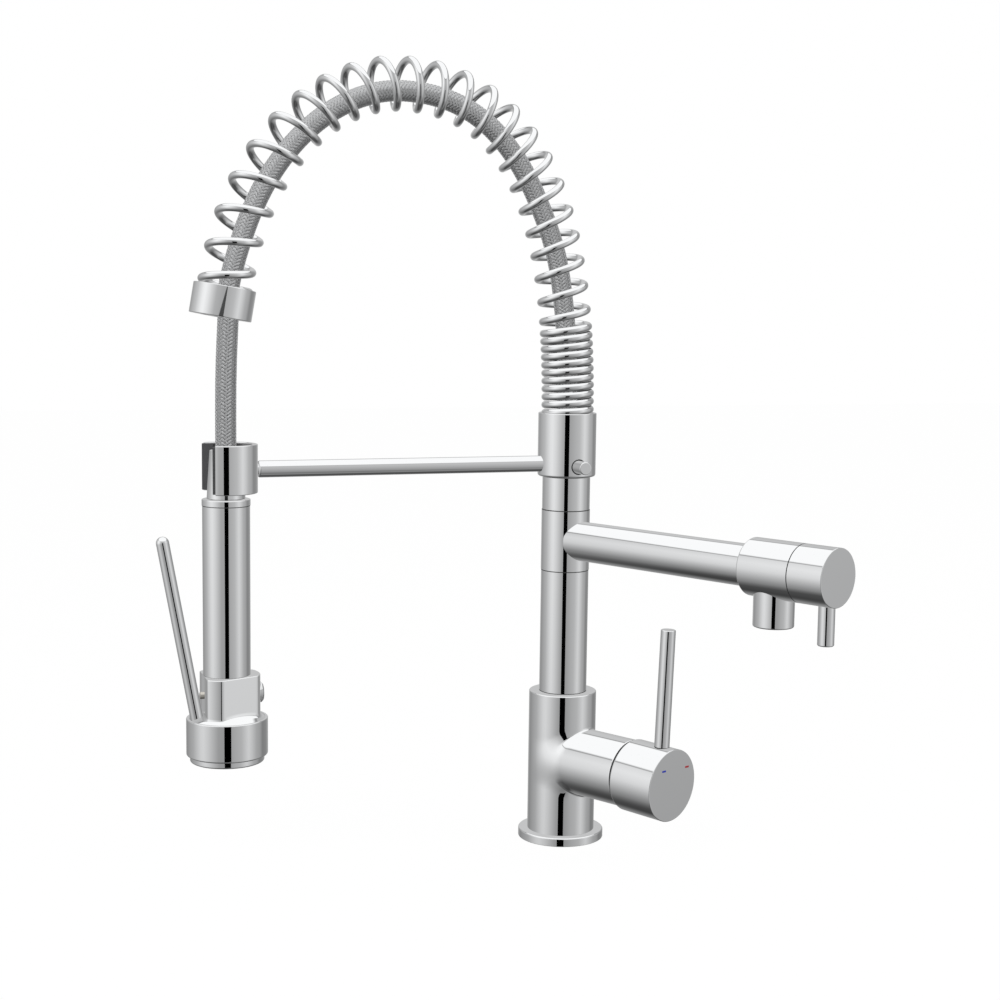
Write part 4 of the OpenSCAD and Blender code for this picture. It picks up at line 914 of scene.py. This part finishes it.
# The spring starts to open 49.4 mm along the arch, in stretches of (turns, mm from turn to turn)
OPEN_AT = 49.4
STRETCHES = [(1, 9.9), (4, 13.9), (2, 15.1), (10, 14.5), (1, 16), (5, 18.1)]
TIGHT_PITCH, FIRST_OPEN, ALL_TURNS, SEAT = 4.7, 11, 35.1, 402.06
TANG_LENGTH, TANG_TURN = 5.1, math.radians(12)
turns = np.linspace(0, ALL_TURNS, 1405)
pitches = [pitch for count, pitch in STRETCHES for _ in range(count)]
open_places = OPEN_AT + np.concatenate([[0], np.cumsum(pitches)])
known = np.concatenate([np.arange(FIRST_OPEN), FIRST_OPEN + np.arange(len(open_places)), [ALL_TURNS]])
spots = np.concatenate([OPEN_AT + (np.arange(FIRST_OPEN) - FIRST_OPEN) * TIGHT_PITCH, open_places, [SEAT]])
length_at = np.interp(turns, known, spots)
window = np.hanning(41) / np.hanning(41).sum()
before = length_at[0] - np.arange(20, 0, -1) * TIGHT_PITCH / 40
after = length_at[-1] + np.arange(1, 21) * 7 / 40
length_at = np.convolve(np.concatenate([before, length_at, after]), window, mode="valid")
winding_r = (SPRING_D - WIRE_D) / 2
winding = along_arch(length_at, winding_r, math.tau * turns)
tang_shares = np.array((0.2, 0.6, 1.0))
first_tang = along_arch(length_at[0] - TANG_LENGTH * tang_shares, winding_r, -TANG_TURN)[::-1]
last_turn = math.tau * ALL_TURNS + TANG_TURN
last_tang = along_arch(length_at[-1] + TANG_LENGTH * tang_shares, winding_r, last_turn)
wire_line = np.vstack([first_tang, winding, last_tang])
WIRE_SIDES = 24
wire = tube_along(wire_line, WIRE_D / 2, WIRE_SIDES)
made = piece("spring_wound", wire, chrome, "arm", "chrome", "spring")
print("spring of", ALL_TURNS, "turns")

# %% [markdown]
# The flanks of the tight turns almost touch, and the inner side behind them lies in shade. These faces get
# the painted shade too.

# %% Painted shade between the tight turns
tight_steps = int(np.argmax(turns > FIRST_OPEN - 0.4)) + len(first_tang)
middles = np.zeros(3 * len(made.data.polygons))
made.data.polygons.foreach_get("center", middles)
middles = middles.reshape(-1, 3)[: tight_steps * WIRE_SIDES] / MM
centres = np.repeat((wire_line[:tight_steps] + wire_line[1 : tight_steps + 1]) / 2, WIRE_SIDES, axis=0)
from_wire = (middles - centres) / (WIRE_D / 2)
outward = unit(centres * (1, 1, 0))
# Painted shade: the flanks and the inner side of the tight turns get the dark joint material
shaded_side = (np.abs(from_wire[:, 2]) > 0.93) | ((from_wire * outward).sum(axis=1) < -0.1)
shades = np.zeros(len(made.data.polygons), int)
shades[: len(middles)] = shaded_side
made.data.materials.append(joint_shade_paint)
made.data.polygons.foreach_set("material_index", shades)
print("faces with film", int(shaded_side.sum()))

# %% [markdown]
# ## Hose
# The hose leans against the inner side of the spring, because it is stiffer than the arch it is bent into.
# Its sleeve has twelve bands each way. A band is a slightly crowned ribbon that rides over two others and
# under two.

# %% The hose's own line
HOSE_R, HOSE_TOP, HOSE_SEAM = 5.9, 243.8, 307.2
lean_places = [-10, 88, 102, 114, 131, 160, 205, 310, 370, ARCH_LENGTH]
lean_sizes = [0, 0.2, 1.0, 2.2, 3.2, 4.0, 3.7, 4.3, 3.4, 1.9]
upper_s = np.linspace(HOSE_TOP - COLLAR_TOP, ARCH_LENGTH, 240)
kernel = np.hanning(25) / np.hanning(25).sum()
leans = np.interp(upper_s, lean_places, lean_sizes)
leans = np.convolve(np.pad(leans, 12, mode="edge"), kernel, mode="valid")
upper_line = along_arch(upper_s, -leans, 0)
drop_z = np.array((HOSE_SEAM + 8, HOSE_SEAM + 4, HOSE_SEAM, 296, 285, 270, 255, 245, 236, 224))
drop_x = np.array((199.0, 198.9, 199.0, 199.5, 200.2, 200.5, 200.6, 200.6, 200.6, 200.6))


def even(line, step):
    """The same line as points that far apart, smoothed through a few passes."""
    for _ in range(3):
        line = np.vstack([line[:1], (line[:-2] + 2 * line[1:-1] + line[2:]) / 4, line[-1:]])
        run = run_along(line)
        count = int(run[-1] / step)
        line = np.stack([np.interp(np.linspace(0, run[-1], count), run, line[:, i]) for i in range(3)], -1)
    return line


lower_line = np.stack([-drop_x, 0 * drop_x, drop_z], -1)
whole = even(np.vstack([upper_line, lower_line]), 0.8)
print("length of the hose's line in mm:", round(0.8 * len(whole)))


# %% Sleeve
BANDS, LEAD, BAND_W, SWING = 12, 24.0, 1.42, 0.15
BAND_STEPS = (-1, -0.5, 0, 0.5, 1)


def sleeve(line, first):
    """Bands both ways round a line that starts at that length of the hose, and a UV across each band."""
    count = len(line)
    step = unit(np.gradient(line, axis=0))
    side = np.tile(np.array((0.0, 1.0, 0.0)), (count, 1))
    over = np.cross(step, side)
    run = first + run_along(line)
    points, faces, normals, uvs = [], [], [], []
    crossing = 2 * BANDS * run / LEAD
    slope = math.atan2(math.tau * HOSE_R, LEAD)
    half = BAND_W / 2 / math.cos(slope) / HOSE_R
    for hand in (1, -1):
        for band in range(BANDS):
            theta = hand * math.tau * run / LEAD + math.tau * band / BANDS
            wave_place = crossing + 2 * band if hand > 0 else 2 * band - crossing
            lift = hand * SWING * np.cos(math.pi / 2 * wave_place - math.pi / 4)
            base = len(points)
            for u in BAND_STEPS:
                crown = 0.10 * (1 - u * u)
                r = HOSE_R - 0.3 + lift + crown
                a = theta + u * half
                normal = side * np.sin(a)[:, None] + over * np.cos(a)[:, None]
                points += (line + normal * r[:, None]).tolist()
                around = side * np.cos(a)[:, None] - over * np.sin(a)[:, None]
                across = around * math.cos(slope) - step * math.sin(slope) * hand
                normals += unit(normal + across * u * 0.55).tolist()
                uvs += [((u + 1) / 2, v) for v in run]
            faces += [tuple(base + v for v in face) for face in grid(len(BAND_STEPS), count)]
    return (points, faces, normals), uvs


def braided(name, line, first, *nodes):
    """The sleeve over a dark rubber tube, joined as one object with two materials."""
    shape, uvs = sleeve(line, first)
    core = tube_along(np.vstack([line[:-2:4], line[-1:]]), HOSE_R - 0.52, 32)
    made = piece(name, joined(shape, core), braid_wire, None, "braid", *nodes)
    made.data.materials.append(seal_rubber)
    made.data.polygons.foreach_set("material_index", [0] * len(shape[1]) + [1] * len(core[1]))
    layer = made.data.uv_layers.new(name="band")
    uvs = uvs + [(0.0, 0.0)] * len(core[0])
    corner_uv = np.array(uvs)[[v for f in made.data.polygons for v in f.vertices]]
    layer.data.foreach_set("uv", corner_uv.ravel())
    return made


seam = int(np.argmin(np.abs(whole[:, 2] - HOSE_SEAM) + (whole[:, 0] > -150) * 999))
upper_hose = braided("hose_over_the_arch", whole[: seam + 1], 0, "hose_upper")
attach(upper_hose, "arm")
lower_hose = braided("hose_to_the_spray", whole[seam:], 0.8 * seam, "hose_lower")
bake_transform(lower_hose)
print("hose bands", 2 * BANDS)

# %% Spring's end collar
at_end = moved(-ARM, 0, float(tip[1])) @ turn_about("Y", 9.6) @ moved(0, 0, -16.8)
turned_piece("spring_end_collar_turned", at_end, "arm", "spring_end_collar",
    [(11.2, 0, 0.3), (17.05, 0, 0.5), (17.05, 16.8, 0.4), (15.8, 16.8, 0.2), (15.8, 7.6), (11.2, 7.6)],
    closed=True)

# %% [markdown]
# ## Rod and holder clip
# A rod from the collar holds a C-shaped clip. The spray's cone drops into the clip's black nylon liner,
# whose two lips cover the clip's cut ends, so that chrome never rubs on chrome.

# %% Rod
turned_piece("support_rod_turned", at_rod, "arm", "support_rod",
    [(0, 12), (4.7, 12), (4.7, 182.9, 1.0), (3.2, 182.9), (3.2, 185.5), (0, 185.5)], segments=96)


# %% An outline swept part of the way round
def swept_arc(corners, start, stop, steps):
    """A closed outline of (radius, height) corners, swept from one angle to another, with flat ends."""
    outline = rounded(corners, closed=True)
    count = len(outline)
    points, normals = [], []
    for i in range(steps + 1):
        a = math.radians(start + (stop - start) * i / steps)
        c, s = math.cos(a), math.sin(a)
        points += [(p[0] * c, p[0] * s, p[1]) for p, n in outline]
        normals += [(n[0] * c, n[0] * s, n[1]) for p, n in outline]
    faces = grid(steps + 1, count, round_columns=True, flip=True)
    for row, facing in ((0, -1), (steps, 1)):
        a = math.radians(start if facing < 0 else stop)
        base = len(points)
        points += points[row * count : (row + 1) * count]
        normals += [(-math.sin(a) * facing, math.cos(a) * facing, 0)] * count
        ring_ids = list(range(base, base + count))
        faces.append(tuple(ring_ids if facing < 0 else ring_ids[::-1]))
    return points, faces, normals


# %% Clip and liner
CLIP_H, MOUTH = 26.9, 116.0
LIP = math.degrees(1.8 / 16.9)
at_clip = at_spray @ turn_about("Z", 3) @ moved(0, 0, 211.4)
clip = swept_arc([(14.6, 0, 0.3), (17.4, 0, 0.5), (17.4, CLIP_H, 0.5), (14.6, CLIP_H, 0.3)],
    MOUTH / 2, 360 - MOUTH / 2, 96)
piece("holder_clip_cast", placed(clip, at_clip), chrome, "arm", "chrome", "holder_clip")
foot_at, top_at = 0.5, CLIP_H - 0.5
lining = swept_arc([(10.70, foot_at, 0.2), (14.55, foot_at, 0.2), (14.55, top_at, 0.2), (8.96, top_at, 0.2)],
    MOUTH / 2, 360 - MOUTH / 2, 96)
lip_outline = [(10.70, foot_at, 0.3), (16.9, foot_at, 0.5), (16.9, top_at, 0.5), (8.96, top_at, 0.3)]
lips = [swept_arc(lip_outline, a, a + LIP, 6) for a in (MOUTH / 2 - LIP, 360 - MOUTH / 2)]
liner = placed(joined(lining, *lips), at_clip)
piece("clip_liner_moulded", liner, nylon, "arm", "black_plastic", "clip_liner")

# %% [markdown]
# ## Hand spray
# From the top: a cone that docks in the clip and swivels on a neck, a ring, the grip tube, the valve block
# with the trigger, and the spray head with its face.

# %% Cone, ring and grip
turned_piece("swivel_cone_turned", at_spray, "carriage", "swivel_cone",
    [(3, 224), (3, 197), (9, 197), (9, 208.3), (10.6, 208.3, 0.2), (8.85, 234.9, 0.5), (7.2, 234.9),
        (7.2, 224)], (208.2, 208.55, 8, 11), closed=True)
turned_piece("grip_ring_turned", at_spray, "spray", "grip_ring",
    [(9.08, 204.4), (13.35, 204.4, 0.25), (13.35, 208.0, 0.5), (9.08, 208.0, 0.2)],
    (204.3, 204.7, 9, 14), closed=True)
turned_piece("grip_tube_drawn", at_spray, "spray", "grip_tube",
    [(11.9, 109.75), (13.1, 109.75, 0.15), (13.1, 204.35, 0.15), (11.9, 204.35)],
    (109.7, 109.95, 11, 14), (204.15, 204.4, 11, 14), closed=True)

# %% Valve block
# A casting: a drum with a flat in front and two at the back, on a flange that swells into them. The
# trigger's slot is milled into its front.
DRUM_R, FRONT_REACH, BACK_REACH, BACK_TURN = 18.4, 13.3, 14.2, 111.5
FLANGE_R, FLANGE_TOP, BLOCK_TOP = 20.9, 85.3, 109.7
around_deg = np.arange(0, 360, 1.0)
radius_at = np.full(360, DRUM_R)
for facing, reach in ((0, FRONT_REACH), (BACK_TURN, BACK_REACH), (-BACK_TURN, BACK_REACH)):
    lean = np.cos(np.radians(around_deg - facing))
    radius_at = np.minimum(radius_at, np.where(lean > 0.2, reach / np.maximum(lean, 0.2), 99))
bell = np.exp(-0.5 * (np.arange(-8, 9) / 2.2) ** 2)
radius_at = np.convolve(np.pad(radius_at, 8, mode="wrap"), bell / bell.sum(), mode="valid")
ring_points, ring_slopes = [], []
for a, r in zip(np.radians(around_deg), radius_at):
    foot_z = FLANGE_TOP + 2.4 * (1 - max(0.0, (r - FRONT_REACH) / 7.6) ** 2)
    sweep = min(3.6, (FLANGE_R - r) * 0.95)
    section = rounded([(0.5, 79.6), (FLANGE_R, 79.6, 0.1), (FLANGE_R, FLANGE_TOP, 0.3), (r, foot_z, sweep),
        (r, BLOCK_TOP, 0.5), (0.5, BLOCK_TOP)], steps=8)
    out = np.array((math.cos(a), math.sin(a), 0))
    ring_points.append([p[0] * out + (0, 0, p[1]) for p, n in section])
    ring_slopes.append([-n[1] * out + (0, 0, n[0]) for p, n in section])
ring_points, ring_slopes = np.array(ring_points), np.array(ring_slopes)
round_way = np.roll(ring_points, -1, axis=0) - np.roll(ring_points, 1, axis=0)
block_normals = unit(np.cross(round_way, ring_slopes))
columns, row = ring_points.shape[:2]
block_points = ring_points.reshape(-1, 3)
faces = [f for f in grid(columns, row, round_rows=True, flip=True)
    if np.linalg.norm(block_points[f[0]] - block_points[f[3]]) > 1e-7]
faces.append(tuple(i * row for i in range(columns - 1, -1, -1)))
faces.append(tuple(i * row + row - 1 for i in range(columns)))
block_shape = (block_points.tolist(), faces, block_normals.reshape(-1, 3).tolist())


def block_of(low_corner, high_corner):
    """A plain box, used as a cutter."""
    (a, b, c), (d, e, f) = low_corner, high_corner
    corners = [(x, y, z) for x in (a, d) for y in (b, e) for z in (c, f)]
    sides = [(0, 1, 3, 2), (4, 6, 7, 5), (0, 4, 5, 1), (2, 3, 7, 6), (0, 2, 6, 4), (1, 5, 7, 3)]
    return corners, sides, [(0, 0, 1)] * 8


block = piece("valve_block_cast", placed(block_shape, at_spray), chrome, "spray", "chrome", "valve_block")
slot_cut = block_of((10, -5, 87.9), (40, 5, 120))
pocket_cut = block_of((12.4, -4.1, 79.4), (41, 4.1, 119))
cut(block, [placed(shape, at_spray) for shape in (slot_cut, pocket_cut)])

# %% Head, face ring and face
HEAD_R = 22.6
turned_piece("spray_head_turned", at_spray, "spray", "spray_head",
    [(17, 79.5), (15, 66), (19.4, 66), (19.4, 64.5), (HEAD_R, 64.5, 1.0), (HEAD_R, 85.5, 0.5),
        (20.95, 85.5, 0.2), (20.95, 79.5)], (64.4, 64.6, 19, 23), closed=True)
turned_piece("face_ring_turned", at_spray, "spray", "face_ring",
    [(17.7, 60.8, 0.3), (20.6, 60.8, 1.0), (20.6, 64.45), (17.7, 64.45)], (64.1, 64.5, 17, 21), closed=True)
FACE_R = 17.65
face_disc = turned([(0, 61.4), (FACE_R, 61.4, 0.2), (FACE_R, 64.4), (0, 64.4)])
nub = turned([(0.9, 61.45), (0.55, 60.9, 0.1), (0.25, 60.9), (0.25, 61.4)], segments=12)
nubs = []
for lap in (1, 2, 3):
    for k in range(8 * lap):
        nubs.append(placed(nub, turn_about("Z", 360 * k / (8 * lap)) @ moved(FACE_R * lap / 4, 0, 0)))
face = placed(joined(face_disc, *nubs), at_spray)
piece("spray_face_moulded", face, nylon, "spray", "black_plastic", "spray_face")

# %% Trigger lever and plunger
TRIGGER_R, DOME_FOOT = 3.6, 102.4
at_trigger = at_spray @ moved(16.5, 0, 83.7) @ turn_about("Y", 10.35)
dome = [(TRIGGER_R * math.cos(a), DOME_FOOT + TRIGGER_R * math.sin(a))
    for a in np.radians(np.arange(6, 90, 6))]
outline = [(0, -3.2), (TRIGGER_R, -3.2, 0.8), (TRIGGER_R, DOME_FOOT), *dome, (0, 106)]
points, faces, normals = turned(outline, segments=64)
normals = [n if p[2] < DOME_FOOT - 0.1 else tuple((np.array(p) - (0, 0, DOME_FOOT)) / TRIGGER_R)
    for p, n in zip(points, normals)]
trigger = placed((points, faces, normals), at_trigger)
piece("trigger_lever_turned", trigger, chrome, "trigger", "chrome", "trigger_lever")
at_valve = at_spray @ moved(0, 0, 98.5) @ level
plunger = turned([(0, -2.5), (4.2, -2.5), (4.2, 0), (2, 0), (2, 15.2, 0.4), (0, 15.2)], segments=48)
piece("valve_plunger_turned", placed(plunger, at_valve), nickel, "plunger", "brass", "valve_plunger")

# %% [markdown]
# ## Clean mirror images
# The photograph's column and tubes mirror little but the room: of the arch, the spray and the levers they
# show only a few thin marks. So the pieces are left out of mirror images, those marks included, and keep
# all else.

# %% Pieces that others don't mirror
everything = [*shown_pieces(), *frame["nodes"].values()]
for made in everything:
    made.visible_glossy = False
print("left out of mirror images:", len(everything))

# %% [markdown]
# ## The pieces that stay as they are
# Seals, cartridge parts, bearing washers and ferrules are inside, or show only as a rim. Their CAD solids
# are right, and need only their finish.

# %% Finishes for the CAD nodes that stay
kept = {
    seal_rubber: ["base_gasket", "core_o_rings", "cartridge_seals", "aerator_washer", "tail_o_ring"],
    acetal: ["cartridge_base", "cartridge_body", "cartridge_carrier", "aerator_insert", "water_tube"],
    shaded_acetal: ["bearing_washers", "arm_washer"],
    alumina: ["fixed_disc", "moving_disc"],
    brass: ["core_tube", "cartridge_nut", "stem_pin", "cartridge_stem", "grub_screw", "headwork_body",
        "headwork_spindle", "hose_tail"],
    ferrule_steel: ["upper_ferrule", "lower_ferrule", "valve_spring", "pivot_pin"],
    chrome: ["end_screw"],
}
for material, names in kept.items():
    for name in names:
        node_object = frame["nodes"][name]
        node_object.data.materials.clear()
        node_object.data.materials.append(material)
hidden = {name for o in bpy.context.scene.objects for name in o.get("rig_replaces", [])}
left = sorted(set(frame["nodes"]) - hidden - {n for names in kept.values() for n in names})
print("nodes without a finish:", left)

# %% Plain view transform
bpy.context.scene.view_settings.view_transform = "Standard"
